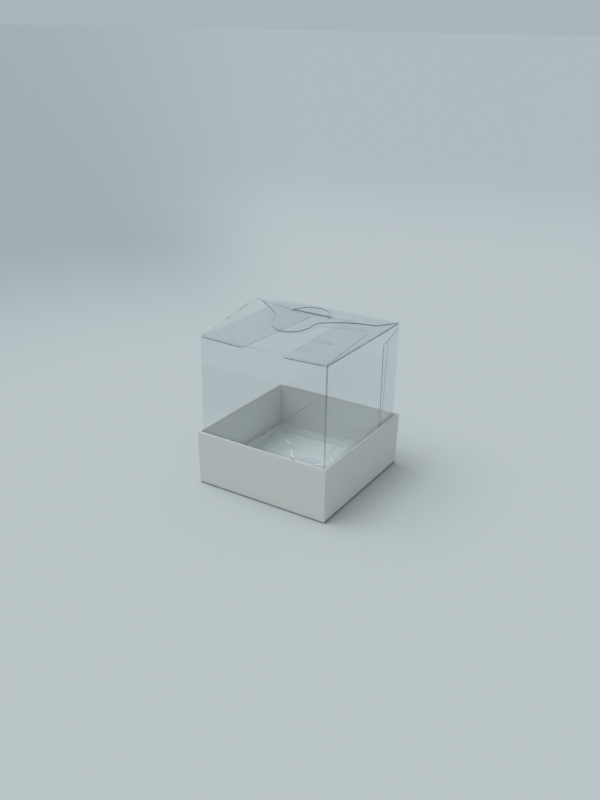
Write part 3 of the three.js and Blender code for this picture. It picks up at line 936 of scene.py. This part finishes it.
@dataclass
class Closure:
    """The four flaps that close one end: two main flaps with tongue and slit, and two dust flaps.

    Reaches are measured level from the fold lines, and angles are in degrees. The nose's shift, the
    lift at the left and the sag at the right are those of flaps closed by hand. The highlight and
    stroke values place the painted highlights round the bottom slit as they are seen from above.
    """

    end: End
    sizes: SleeveSizes
    finishes: FinishShelf
    rise: float
    fold_height: float
    dust_fold_height: float
    dust_droops: tuple[float, float]
    bodies: dict[str, str]
    slit_from_back: float = 19.2 * MM
    slit_lips: float = 0.45 * MM
    slit_end_gap: float = 0.4 * MM
    slit_band: float = 0.35 * MM
    root_steps: int = 8
    row_step: float = 1 * MM
    thinnest: float = 0.02 * MM
    back_width: float = 49.2 * MM
    back_side: float = 17.9 * MM
    back_reach: float = 36.5 * MM
    shoulder_slope: float = 29.0
    nose_root_width: float = 19 * MM
    nose_width: float = 15 * MM
    nose_round: float = 7.8 * MM
    front_width: float = 48.6 * MM
    front_corner: float = 2 * MM
    shoulder_setback: float = 2.2 * MM
    tongue_width: float = 15 * MM
    tongue_round: float = 8.4 * MM
    tongue_reach: float = 4.8 * MM
    dust_width: float = 50 * MM
    dust_front: float = 16.6 * MM
    dust_back: float = 18.6 * MM
    dust_corner: float = 1.5 * MM
    dust_wave: Wave = Wave(seed=9.0, per_metre=50.0, height=0.06 * MM, fade=5 * MM)
    nose_tip_gap: float = 0.15 * MM
    nose_shift: float = 0.0
    left_lift: float = 0.0
    lift_start: float = 6 * MM
    right_sag: float = 0.0
    fold_band: float = 0.45 * MM
    edge_margin: float = 0.2 * MM
    faint_corner: float = 5 * MM
    plain_side_end: float = 0.5 * MM
    plain_back_margin: float = 0.3 * MM
    # the arc and the strokes of the painted highlights round the bottom slit
    highlight_centre: tuple[float, float] = (-1.7 * MM, 14.6 * MM)
    highlight_radius: float = 9.8 * MM
    highlight_angles: tuple[float, float] = (202.0, 338.0)
    stroke_ends: tuple[tuple[float, float, float, float], ...] = (
        (-17.2 * MM, 15.9 * MM, -12.7 * MM, 13.3 * MM), (5.8 * MM, 12.5 * MM, 9.1 * MM, 9.5 * MM))
    mark_width: float = 0.5 * MM
    mark_thickness: float = 0.06 * MM
    mark_gap: float = 0.06 * MM
    mark_nudge: float = 0.1 * MM
    mark_steps: int = 24

    def build(self) -> None:
        """Builds the four flaps."""
        self.back_flap()
        self.front_flap()
        for side, sign, droop in (("left", -1, self.dust_droops[0]), ("right", 1, self.dust_droops[1])):
            self.dust_flap(side, sign, droop)
        if self.end is End.BOTTOM:
            self.highlight_marks()

    @property
    def front_run(self) -> float:
        """Distance from the front fold line to the slit."""
        return 2 * self.sizes.main_fold_y - self.slit_from_back

    def place(self, distance: float, height: float, turn: float) -> Matrix:
        """Where a flap's own frame stands.

        Args:
            distance: from the middle of the box to the fold line.
            height: the fold line's height.
            turn: which side it is on, as an angle from the front.

        Returns:
            The matrix from the flap's frame, with +Y inwards and +Z outwards, to the box.
        """
        lift = Matrix.Translation((0, 0, height))
        over = Matrix.Rotation(math.pi, 4, "Y") if self.end is End.BOTTOM else Matrix.Identity(4)
        spin = Matrix.Rotation(turn, 4, "Z")
        return lift @ over @ spin @ Matrix.Translation((0, -distance, 0))

    def root_thickness(self, along: float) -> float:
        """Half the thickness of a flap, which is round at its fold.

        Args:
            along: distance from the fold line.

        Returns:
            The half thickness there.
        """
        half, radius = self.sizes.sheet / 2, self.sizes.root_radius
        if along * along >= radius * radius - half * half and along > 0:
            return half
        return math.sqrt(max(radius * radius - along * along, self.thinnest * self.thinnest))

    def back_height(self, along: float) -> float:
        """Height of the back flap over its fold line: straight to the slit, then bent on to the front flap.

        Args:
            along: level distance from the fold line.

        Returns:
            The height.
        """
        front_slope, slope = self.slopes()
        run, radius = self.slit_from_back, self.sizes.nose_bend_radius
        if along <= run:
            return along * math.tan(slope)
        crossing = front_slope + slope
        past = (self.back_reach - run) / math.cos(front_slope) - radius * crossing
        excess = max(0.0, radius * (1 - math.cos(crossing)) - self.sizes.sheet - self.nose_tip_gap)
        turn = crossing + (past - math.sqrt(max(0.0, past * past - 2 * radius * excess))) / radius
        bend_run = radius * (math.sin(slope) - math.sin(slope - turn))
        bent = min(along - run, bend_run)
        sine = math.sin(slope) - bent / radius
        height = run * math.tan(slope) + radius * (math.sqrt(1 - sine * sine) - math.cos(slope))
        return height + max(0.0, along - run - bend_run) * math.tan(slope - turn)

    def main_surface(self, place: Matrix, height: Callable[[float], float], wave: Wave,
                     sag: float = 0.0) -> Surface:
        """The bending rule of a main flap.

        Args:
            place: its frame.
            height: its height over its fold line at a distance from it.
            wave: its waviness.
            sag: the share of its height that it loses at the right.

        Returns:
            The rule from the pattern to the box.
        """

        def surface(across: float, along: float) -> Vector:
            """Where a point of the flap lies.

            Args:
                across: its place along the fold line.
                along: its distance from the fold line.

            Returns:
                The point.
            """
            leftness = -(place @ Vector((across, 0, 0))).x
            lift = 1.0 + self.left_lift * smooth_step(self.lift_start, self.sizes.half_width, leftness)
            lift -= sag * smooth_step(self.lift_start, self.sizes.half_width, -leftness)
            return place @ Vector((across, along, height(along) * lift + wave.at(across, along)))

        return surface

    def slopes(self) -> tuple[float, float]:
        """The angles at which the front and the back flap climb to the slit."""
        return math.atan2(self.rise, self.front_run), math.atan2(self.rise, self.slit_from_back)

    def back_flap(self) -> None:
        """Builds the flap with the slit and the rounded nose."""
        root, side, half = -self.sizes.root_radius, self.back_width / 2, self.nose_root_width / 2
        slope = math.tan(math.radians(self.shoulder_slope))
        shoulder_end = self.back_side + (side - half) * slope
        nose_angle = math.degrees(math.asin(self.nose_width / 2 / self.nose_round))
        centre = self.back_reach - self.nose_round
        start = centre + self.nose_round * math.cos(math.radians(nose_angle))
        tip = self.nose_width / 2
        easing = shoulder_end + (half - tip) * slope
        shift = self.nose_shift
        outline = Pattern((-side, root)).line((side, root)).line((side, self.back_side))
        outline.line((half + shift, shoulder_end)).curve((tip + shift, easing), (tip + shift, start))
        outline.arc((shift, centre), self.nose_round, 90 - nose_angle, 90 + nose_angle)
        outline.curve((shift - tip, easing), (shift - half, shoulder_end)).line((-side, self.back_side))
        outline.line((-side, root))
        lips, slit_end = self.slit_lips, self.tongue_width / 2 + self.slit_end_gap - self.slit_lips / 2
        slit = Pattern((slit_end, self.slit_from_back - lips))
        slit.arc((slit_end, self.slit_from_back), lips, -90, 90)
        slit.arc((-slit_end, self.slit_from_back), lips, 90, 270)
        slit.line((slit_end, self.slit_from_back - lips))
        place = self.place(self.sizes.main_fold_y, self.fold_height, math.pi)
        surface = self.main_surface(place, self.back_height, Wave(seed=3.0))
        piece = self.flap_piece(f"clear_{self.end.value}_back_flap", surface, self.back_edge_zone)
        band = lips + self.slit_band
        fold_zone = piece.face_zone

        def face_zone(across: float, along: float) -> Zone:
            """Which finish a face takes: a narrow band round the slit takes the faint dark edge finish,
            painted shade.

            Args:
                across: its place along the fold line.
                along: its distance from the fold line.

            Returns:
                The finish's zone.
            """
            # painted shade along the slit
            if abs(across) < slit_end + lips and abs(along - self.slit_from_back) < band:
                return Zone.FAINT_EDGE
            return fold_zone(across, along)

        if self.end is End.TOP:
            piece.face_zone = face_zone
        us = steps(-side, side, self.sizes.flap_steps)
        vs = [*self.rows(self.back_reach), self.slit_from_back - band, self.slit_from_back + band]
        made = piece.from_outline(outline.closed(), us, vs, [slit.closed()])
        node = f"{self.end.value}_back_flap"
        dress(made, self.flap_finishes(), self.bodies["back"], "clear_sheet", node)

    def front_flap(self) -> None:
        """Builds the flap with the tongue."""
        root, side, tongue = -self.sizes.root_radius, self.front_width / 2, self.tongue_width / 2
        shoulder, corner = self.front_run - self.shoulder_setback, self.front_corner
        reach = self.front_run + self.tongue_reach
        tip_angle = math.degrees(math.asin(tongue / self.tongue_round))
        outline = Pattern((-side, root)).line((side, root))
        outline.arc((side - corner, shoulder - corner), corner, 0, 90).line((tongue, shoulder))
        outline.arc((0, reach - self.tongue_round), self.tongue_round, 90 - tip_angle, 90 + tip_angle)
        outline.line((-tongue, shoulder))
        outline.arc((corner - side, shoulder - corner), corner, 90, 180).line((-side, root))
        place = self.place(self.sizes.main_fold_y, self.fold_height, 0)
        slope = math.tan(self.slopes()[0])
        surface = self.main_surface(place, lambda along: along * slope, Wave(seed=5.0), self.right_sag)
        piece = self.flap_piece(f"clear_{self.end.value}_front_flap", surface, self.front_edge_zone)
        us = steps(-side, side, self.sizes.flap_steps)
        made = piece.from_outline(outline.closed(), us, self.rows(reach))
        node = f"{self.end.value}_front_flap"
        dress(made, self.flap_finishes(), self.bodies["front"], "clear_sheet", node)

    def dust_flap(self, side: str, sign: int, droop: float) -> None:
        """Builds a dust flap.

        Args:
            side: left or right.
            sign: -1 on the left, 1 on the right.
            droop: the angle in degrees at which it leans into the box.
        """
        half, root = self.dust_width / 2, -self.sizes.root_radius
        handed = -1 if self.end is End.BOTTOM else 1
        front = -sign * handed
        place = self.place(self.sizes.dust_fold_x, self.dust_fold_height, sign * handed * math.pi / 2)
        lean = math.radians(droop)
        wave = replace(self.dust_wave, seed=self.dust_wave.seed + sign)

        def surface(across: float, along: float) -> Vector:
            """Where a point of the flap lies, by its place along the fold line and distance from it."""
            height = wave.at(across, along) - along * math.sin(lean)
            return place @ Vector((across, along * math.cos(lean), height))

        corner = self.dust_corner
        at = [(-half, root), (half, root), (half, self.dust_front - corner), (half, self.dust_front),
              (half - corner, self.dust_front), (corner - half, self.dust_back),
              (-half, self.dust_back), (-half, self.dust_back - corner)]
        at = [(front * across, along) for across, along in at]
        if front < 0:
            at = [at[1], at[0], *reversed(at[2:])]  # the outline still runs anticlockwise
        outline = Pattern(at[0]).line(at[1]).line(at[2]).curve(at[3], at[4]).line(at[5])
        outline.curve(at[6], at[7]).line(at[0])

        def edge_zone(across: float, along: float) -> Zone:
            """Which finish an edge takes: dark at the front side, faint at the free edge.

            Args:
                across: its place along the fold line.
                along: its distance from the fold line.

            Returns:
                The finish's zone.
            """
            if front * across > half - self.edge_margin:
                return Zone.CUT_EDGE
            if front * across < self.plain_back_margin - half:
                return Zone.FACE
            return Zone.FACE if sign > 0 and self.end is End.TOP else Zone.FAINT_EDGE

        piece = self.flap_piece(f"clear_{self.end.value}_{side}_dust_flap", surface, edge_zone)
        us = steps(-half, half, self.sizes.flap_steps)
        made = piece.from_outline(outline.closed(), us, self.rows(self.dust_back))
        dark = side == "right" or self.end is End.BOTTOM
        fold = self.finishes.dark_fold if dark else self.finishes.faint_fold
        # the flap sheet of its end: painted shade at the top, painted light at the bottom
        finishes = self.finishes.with_fold(fold, self.finishes.flap_sheets[self.end])
        node = f"{self.end.value}_{side}_dust_flap"
        dress(made, finishes, self.bodies[side], "clear_sheet", node)

    def rows(self, reach: float) -> list[float]:
        """Where a flap has inner points, close together at the fold.

        Args:
            reach: the distance from the fold line to its far edge.

        Returns:
            Their distances from the fold line.
        """
        root = self.sizes.root_radius
        near = [root * math.sin(angle) for angle in steps(-math.pi / 2, math.pi / 3, self.root_steps)]
        return [*near, self.fold_band, *steps(self.row_step, reach, round(reach / self.row_step))]

    def back_edge_zone(self, across: float, along: float) -> Zone:
        """Which of the back flap's edges show dark: the nose, the shoulders and the slit.

        Args:
            across: an edge's place along the fold line.
            along: its distance from the fold line.

        Returns:
            The finish's zone.
        """
        # at the bottom only the slit's edges show, in the pale edge finish, a painted highlight
        if self.end is End.BOTTOM:
            return Zone.HIGHLIGHT_EDGE if abs(along - self.slit_from_back) < 2 * self.slit_lips else Zone.FACE
        if along < self.back_side - self.plain_side_end and across > self.tongue_width:
            return Zone.FACE
        return Zone.FAINT_EDGE if across > self.back_width / 2 - self.faint_corner else Zone.CUT_EDGE

    def front_edge_zone(self, across: float, along: float) -> Zone:
        """Which of the front flap's edges show dark: the upper tongue's, and its right side's a little.

        Args:
            across: an edge's place along the fold line.
            along: its distance from the fold line.

        Returns:
            The finish's zone.
        """
        shoulder = self.front_run - self.shoulder_setback
        if self.end is End.BOTTOM:
            return Zone.FACE
        if abs(across) < self.tongue_width / 2 + self.edge_margin and along > shoulder:
            return Zone.CUT_EDGE
        return Zone.FACE if across < 0 or along > shoulder - self.front_corner else Zone.FAINT_EDGE

    def flap_piece(self, name: str, surface: Surface, edge_zone: ZoneRule) -> SheetPiece:
        """A flap's piece, with its rounded root as a fold."""
        return SheetPiece(name, surface, lambda u, v: self.root_thickness(v),
                          lambda u, v: Zone.FOLD if v < self.fold_band else Zone.FACE,
                          lambda u, v: Zone.FOLD if v < self.fold_band else edge_zone(u, v))

    def highlight_marks(self) -> None:
        """Builds the painted highlights round the slit: an arc where the tongue bends the sheet, and two
        strokes.
        """
        centre, radius = Vector(self.highlight_centre), self.highlight_radius
        first, last = (math.radians(angle) for angle in self.highlight_angles)

        def arc(distance: float) -> Vector:
            """A point of the pressed arc, at a distance along it."""
            angle = first + distance / radius
            return centre + radius * Vector((math.cos(angle), math.sin(angle)))

        self.highlight_mark("clear_highlight_arc", arc, (last - first) * radius)
        for side, (x, y, end_x, end_y) in zip(("left", "right"), self.stroke_ends):
            start, stroke = Vector((x, y)), Vector((end_x - x, end_y - y))
            self.highlight_mark(f"clear_{side}_highlight_stroke",
                             lambda distance, a=start, b=stroke.normalized(): a + b * distance,
                             stroke.length)

    def highlight_mark(self, name: str, path: Callable[[float], Vector], length: float) -> None:
        """Builds one painted highlight, a white mark on the inner face of the closed flaps.

        Args:
            name: its name.
            path: its middle line, seen from above, by the distance along it.
            length: how long it is.
        """
        half = self.mark_thickness / 2

        def surface(along: float, across: float) -> Vector:
            """Where a point of the mark lies.

            Args:
                along: its distance along the middle line.
                across: its distance from that line.

            Returns:
                The point.
            """
            middle = path(along)
            ahead = (path(along + self.mark_nudge) - middle).normalized()
            place = middle + across * Vector((-ahead.y, ahead.x))
            back = self.back_height(self.sizes.main_fold_y - place.y)
            front = (self.sizes.main_fold_y + place.y) * math.tan(self.slopes()[0])
            height = self.fold_height - min(back, front) + self.sizes.sheet / 2 + self.mark_gap
            return Vector((*place, height))

        piece = SheetPiece(name, surface, lambda u, v: half)
        width = self.mark_width / 2
        made = piece.from_grid(steps(0, length, self.mark_steps), steps(-width, width, 2))
        dress(made, [self.finishes.crease_highlight] * 2, self.bodies["back"], "clear_sheet")

    def flap_finishes(self) -> list[bpy.types.Material]:
        """The finishes of a main flap, in the order of the zones."""
        # the flap sheet of its end: painted shade at the top, painted light at the bottom
        return self.finishes.with_fold(self.finishes.faint_fold, self.finishes.flap_sheets[self.end])


# The tray


@dataclass
class CardTray:
    """The tray: base, four double walls with rolled rims, and the corner tabs between their layers."""

    finishes: FinishShelf
    body: str = "tray"
    board: float = 0.3 * MM
    layer_gap: float = 0.34 * MM
    play: float = 0.1 * MM
    flare: float = 0.35 * MM
    bow: float = 0.12 * MM
    foot_radius: float = 0.9 * MM
    rim_return: float = 0.5 * MM
    mitre_gap: float = 0.03 * MM
    inner_foot: float = 0.34 * MM
    half_width: float = 25 * MM
    half_depth: float = 25.5 * MM
    # share of the foot's turn that takes the painted contact shadow
    foot_shadow_share: float = 0.65
    length_steps: int = 30
    section_steps: tuple[int, ...] = (6, 16, 14, 3)
    inner_steps: int = 12
    height: float = field(init=False)

    def __post_init__(self) -> None:
        """Takes the height of the rim from the frame."""
        self.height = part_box("tray_front_outer_panel")[1].z

    def build(self) -> None:
        """Builds the walls, and finishes the panels that stay as they are."""
        sides = (("front", self.half_width, self.half_depth), ("right", self.half_depth, self.half_width),
                 ("back", self.half_width, self.half_depth), ("left", self.half_depth, self.half_width))
        for quarter_turns, (side, half_length, half_across) in enumerate(sides):
            self.outer_panel(side, quarter_turns, half_length, half_across)
            self.inner_panel(side, quarter_turns, half_length, half_across)
        # the base takes the lighter copy of the card, painted light
        self.finish_node("tray_base", self.finishes.card_base_painted_light)
        for end in ("front", "back"):
            for side in ("left", "right"):
                self.finish_node(f"tray_{end}_{side}_corner_tab", self.finishes.card)

    @property
    def thickness(self) -> float:
        """Both panels of a wall and the gap between them."""
        return 2 * self.board + self.layer_gap

    def finish_node(self, name: str, finish: bpy.types.Material) -> None:
        """Gives a CAD node a card finish.

        Args:
            name: the node's name.
            finish: the card finish.
        """
        node = frame["nodes"][name]
        for slot in node.material_slots:
            slot.link = "OBJECT"
            slot.material = finish
        log.info("%s keeps its shape and takes the card finish", name)

    def wall_point(self, quarter_turns: int, half_length: float, half_across: float, share: float,
                   out: float, height: float) -> Vector:
        """A point of a wall.

        Args:
            quarter_turns: which side of the tray it is on.
            half_length: half the wall's length at its inner face.
            half_across: distance from the middle to its inner face.
            share: place along the wall, from -1 to 1.
            out: distance outwards from its inner face.
            height: height over the base.

        Returns:
            The point, with the wall's lean and its slight bow.
        """
        lean = self.flare * height / self.height
        bow = self.bow * (1 - share * share) * smooth_step(0, self.height, height)
        reach = self.play + out + lean
        along = share * (half_length + reach - self.mitre_gap)
        point = Vector((along, -half_across - reach - bow, height))
        return Matrix.Rotation(quarter_turns * math.pi / 2, 4, "Z") @ point

    def outer_panel(self, side: str, quarter_turns: int, half_length: float, half_across: float) -> None:
        """Builds an outer panel: the fold at its foot, the wall and the rim rolled over inwards.

        Args:
            side: its side's name.
            quarter_turns: which side of the tray it is on.
            half_length: half the wall's length at its inner face.
            half_across: distance from the middle to its inner face.
        """
        half, middle = self.board / 2, self.thickness / 2
        foot = self.thickness - self.foot_radius
        rim = self.height - middle
        lengths = (math.pi / 2, 1.0, math.pi, 1.0)

        def section(place: float) -> tuple[float, float]:
            """The section's middle line: foot, wall, rolled rim and the return inside.

            Args:
                place: a place along it, over the lengths of those four stretches in turn.

            Returns:
                The distance outwards and the height there.
            """
            if place < lengths[0]:
                angle = place - math.pi / 2
                reach = self.foot_radius - half
                return foot + reach * math.cos(angle), self.foot_radius + reach * math.sin(angle)
            place -= lengths[0]
            if place < lengths[1]:
                return self.thickness - half, self.foot_radius + (rim - self.foot_radius) * place
            place -= lengths[1]
            if place < lengths[2]:
                reach = middle - half
                return middle + reach * math.cos(place), rim + reach * math.sin(place)
            place -= lengths[2]
            return half, rim - self.rim_return * place

        def surface(share: float, place: float) -> Vector:
            """A point of the panel."""
            return self.wall_point(quarter_turns, half_length, half_across, share, *section(place))

        ends = [0.0]
        places = [0.0]
        for length, count in zip(lengths, self.section_steps):
            ends.append(ends[-1] + length)
            places += steps(ends[-2], ends[-1], count)[1:]
        # the painted contact shadow covers the whole foot on the right wall, turned from the lamp, and part
        # of it elsewhere
        foot_shadow_end = ends[1] * (1.0 if side == "right" else self.foot_shadow_share)

        def face_zone(share: float, place: float) -> Zone:
            """Which finish a face takes: the foot's fold has a painted contact shadow and the rolled rim
            painted shade.

            Card has no faint edges, so the foot's painted contact shadow stands in their place in the list.

            Args:
                share: its place along the wall.
                place: its place along the section.

            Returns:
                The finish's zone.
            """
            # painted contact shadow on the foot's fold
            if place < foot_shadow_end:
                return Zone.FAINT_EDGE
            # the rolled rim takes the darker card, painted shade
            return Zone.FOLD if ends[2] < place < ends[3] else Zone.FACE

        piece = SheetPiece(f"card_{side}_outer_panel", surface, lambda u, v: half, face_zone)
        made = piece.from_grid(steps(-1, 1, self.length_steps), places)
        # the rim takes a darker copy of the card, painted shade, and the foot a painted contact shadow
        finishes = [self.finishes.card] * 2 + [self.finishes.card_rim_painted_shade, self.finishes.card_foot_painted_shadow]
        dress(made, finishes, self.body, "white_card", f"tray_{side}_outer_panel")

    def inner_panel(self, side: str, quarter_turns: int, half_length: float, half_across: float) -> None:
        """Builds an inner panel, which hangs from the rim to the base.

        Args:
            side: its side's name.
            quarter_turns: which side of the tray it is on.
            half_length: half the wall's length at its inner face.
            half_across: distance from the middle to its inner face.
        """
        half = self.board / 2
        top = self.height - self.thickness / 2 - self.rim_return

        def surface(share: float, height: float) -> Vector:
            """A point of the panel."""
            return self.wall_point(quarter_turns, half_length, half_across, share, half, height)

        piece = SheetPiece(f"card_{side}_inner_panel", surface, lambda u, v: half)
        lengthwise, upright = steps(-1, 1, self.length_steps), steps(self.inner_foot, top, self.inner_steps)
        made = piece.from_grid(lengthwise, upright)
        # the inner panels take the lighter copy of the card, painted light
        dress(made, [self.finishes.card_inside_painted_light] * 2, self.body, "white_card", f"tray_{side}_inner_panel")


# The studio


@dataclass
class Studio:
    """A plain pale floor, soft light and the camera."""

    floor_size: float = 40.0
    focal_pixels: float = 858.0
    picture_height: float = 800.0
    sensor: float = 36.0
    azimuth: float = 31.61
    elevation: float = 23.69
    roll: float = 0.98
    camera_place: tuple[float, float, float] = (0.1473, -0.2403, 0.1529)
    nearest: float = 0.01
    farthest: float = 100.0
    see_through_layers: int = 64
    sun_direction: tuple[float, float, float] = (-0.34, -0.19, 0.92)
    sun_strength: float = 1.75
    sun_angle: float = 46.0
    sun_colour: Colour = (1.0, 1.0, 0.99)
    sky_high: Colour = (0.62, 0.66, 0.68)
    sky_low: Colour = (0.30, 0.34, 0.36)
    sky_reach: float = 0.9
    backdrop: Colour = (0.403, 0.465, 0.489)

    def build(self) -> None:
        """Builds the floor, the light and the camera."""
        self.floor()
        self.light()
        self.camera()
        scene = bpy.context.scene
        scene.view_settings.view_transform = "Standard"
        scene.cycles.transparent_max_bounces = self.see_through_layers

    def floor(self) -> None:
        """Builds the floor."""
        mesh = bpy.data.meshes.new("floor")
        reach = self.floor_size / 2
        corners = [(-reach, -reach, 0), (reach, -reach, 0), (reach, reach, 0), (-reach, reach, 0)]
        mesh.from_pydata(corners, [], [(0, 1, 2, 3)])
        mesh.materials.append(FloorFinish().material())
        floor = bpy.data.objects.new("floor", mesh)
        bpy.context.scene.collection.objects.link(floor)

    def light(self) -> None:
        """Builds the wide soft lamp and the sky, which is pale overhead and dimmer low down."""
        sun = bpy.data.lights.new("soft_lamp", "SUN")
        sun.energy = self.sun_strength
        sun.angle = math.radians(self.sun_angle)
        sun.color = self.sun_colour
        lamp = bpy.data.objects.new("soft_lamp", sun)
        lamp.rotation_euler = Vector(self.sun_direction).to_track_quat("Z", "Y").to_euler()
        lamp.visible_glossy = False
        bpy.context.scene.collection.objects.link(lamp)
        sketch = NodeSketch(bpy.data.worlds.new("sky"))
        place = sketch.add("ShaderNodeTexCoord").outputs["Generated"]
        height = sketch.add("ShaderNodeSeparateXYZ", {0: place}).outputs["Z"]
        sky = sketch.blend(sketch.ramp(height, 0.0, self.sky_reach), self.sky_low, self.sky_high)
        seen = sketch.add("ShaderNodeLightPath").outputs["Is Camera Ray"]
        shade = sketch.add("ShaderNodeBackground", {"Color": sketch.blend(seen, sky, self.backdrop)})
        bpy.context.scene.world = sketch.finish(shade.outputs[0])

    def camera(self) -> None:
        """Places the camera at the photograph's viewing angle."""
        data = bpy.data.cameras.new("camera")
        data.sensor_width = self.sensor
        data.lens = self.sensor * self.focal_pixels / self.picture_height
        data.clip_start, data.clip_end = self.nearest, self.farthest
        camera = bpy.data.objects.new("camera", data)
        turn, tilt, roll = (math.radians(a) for a in (self.azimuth, self.elevation, self.roll))
        forward = Vector((-math.sin(turn) * math.cos(tilt), math.cos(turn) * math.cos(tilt),
                          -math.sin(tilt)))
        level = Vector((math.cos(turn), math.sin(turn), 0))
        upright = level.cross(forward)
        right = math.cos(roll) * level + math.sin(roll) * upright
        up = math.cos(roll) * upright - math.sin(roll) * level
        turned = Matrix((right, up, -forward)).transposed().to_4x4()
        camera.matrix_world = Matrix.Translation(self.camera_place) @ turned
        bpy.context.scene.collection.objects.link(camera)
        bpy.context.scene.camera = camera


def corners(bounds: tuple[Vector, Vector]) -> list[list[float]]:
    """A box's two corners as plain lists."""
    return [list(corner) for corner in bounds]


def main() -> None:
    """Builds the studio and the box."""
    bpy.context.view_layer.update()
    Studio().build()
    finishes = FinishShelf()
    CardTray(finishes).build()
    sizes = SleeveSizes()
    SleeveWalls(sizes, finishes).build()
    top_fold, top_dust_fold = hinge("top_back_flap_fold").z, hinge("top_left_dust_flap_fold").z
    Closure(End.TOP, sizes, finishes, rise=4.1 * MM, fold_height=top_fold, dust_fold_height=top_dust_fold,
            dust_droops=(1.5, 1.5), nose_shift=1.4 * MM, left_lift=0.3, right_sag=0.3,
            bodies={"back": "top_back_flap", "front": "top_front_flap", "left": "top_left_dust_flap",
                    "right": "top_right_dust_flap"}).build()
    bottom_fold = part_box("bottom_front_flap")[1].z - sizes.root_radius
    bottom_dust_fold = hinge("bottom_left_dust_flap_fold").z
    Closure(End.BOTTOM, sizes, finishes, rise=3 * MM, fold_height=bottom_fold,
            dust_fold_height=bottom_dust_fold, dust_droops=(40.0, 5.0),
            bodies={"back": "sleeve", "front": "sleeve", "left": "bottom_left_dust_flap",
                    "right": "bottom_right_dust_flap"}).build()


if __name__ == "__main__":
    main()
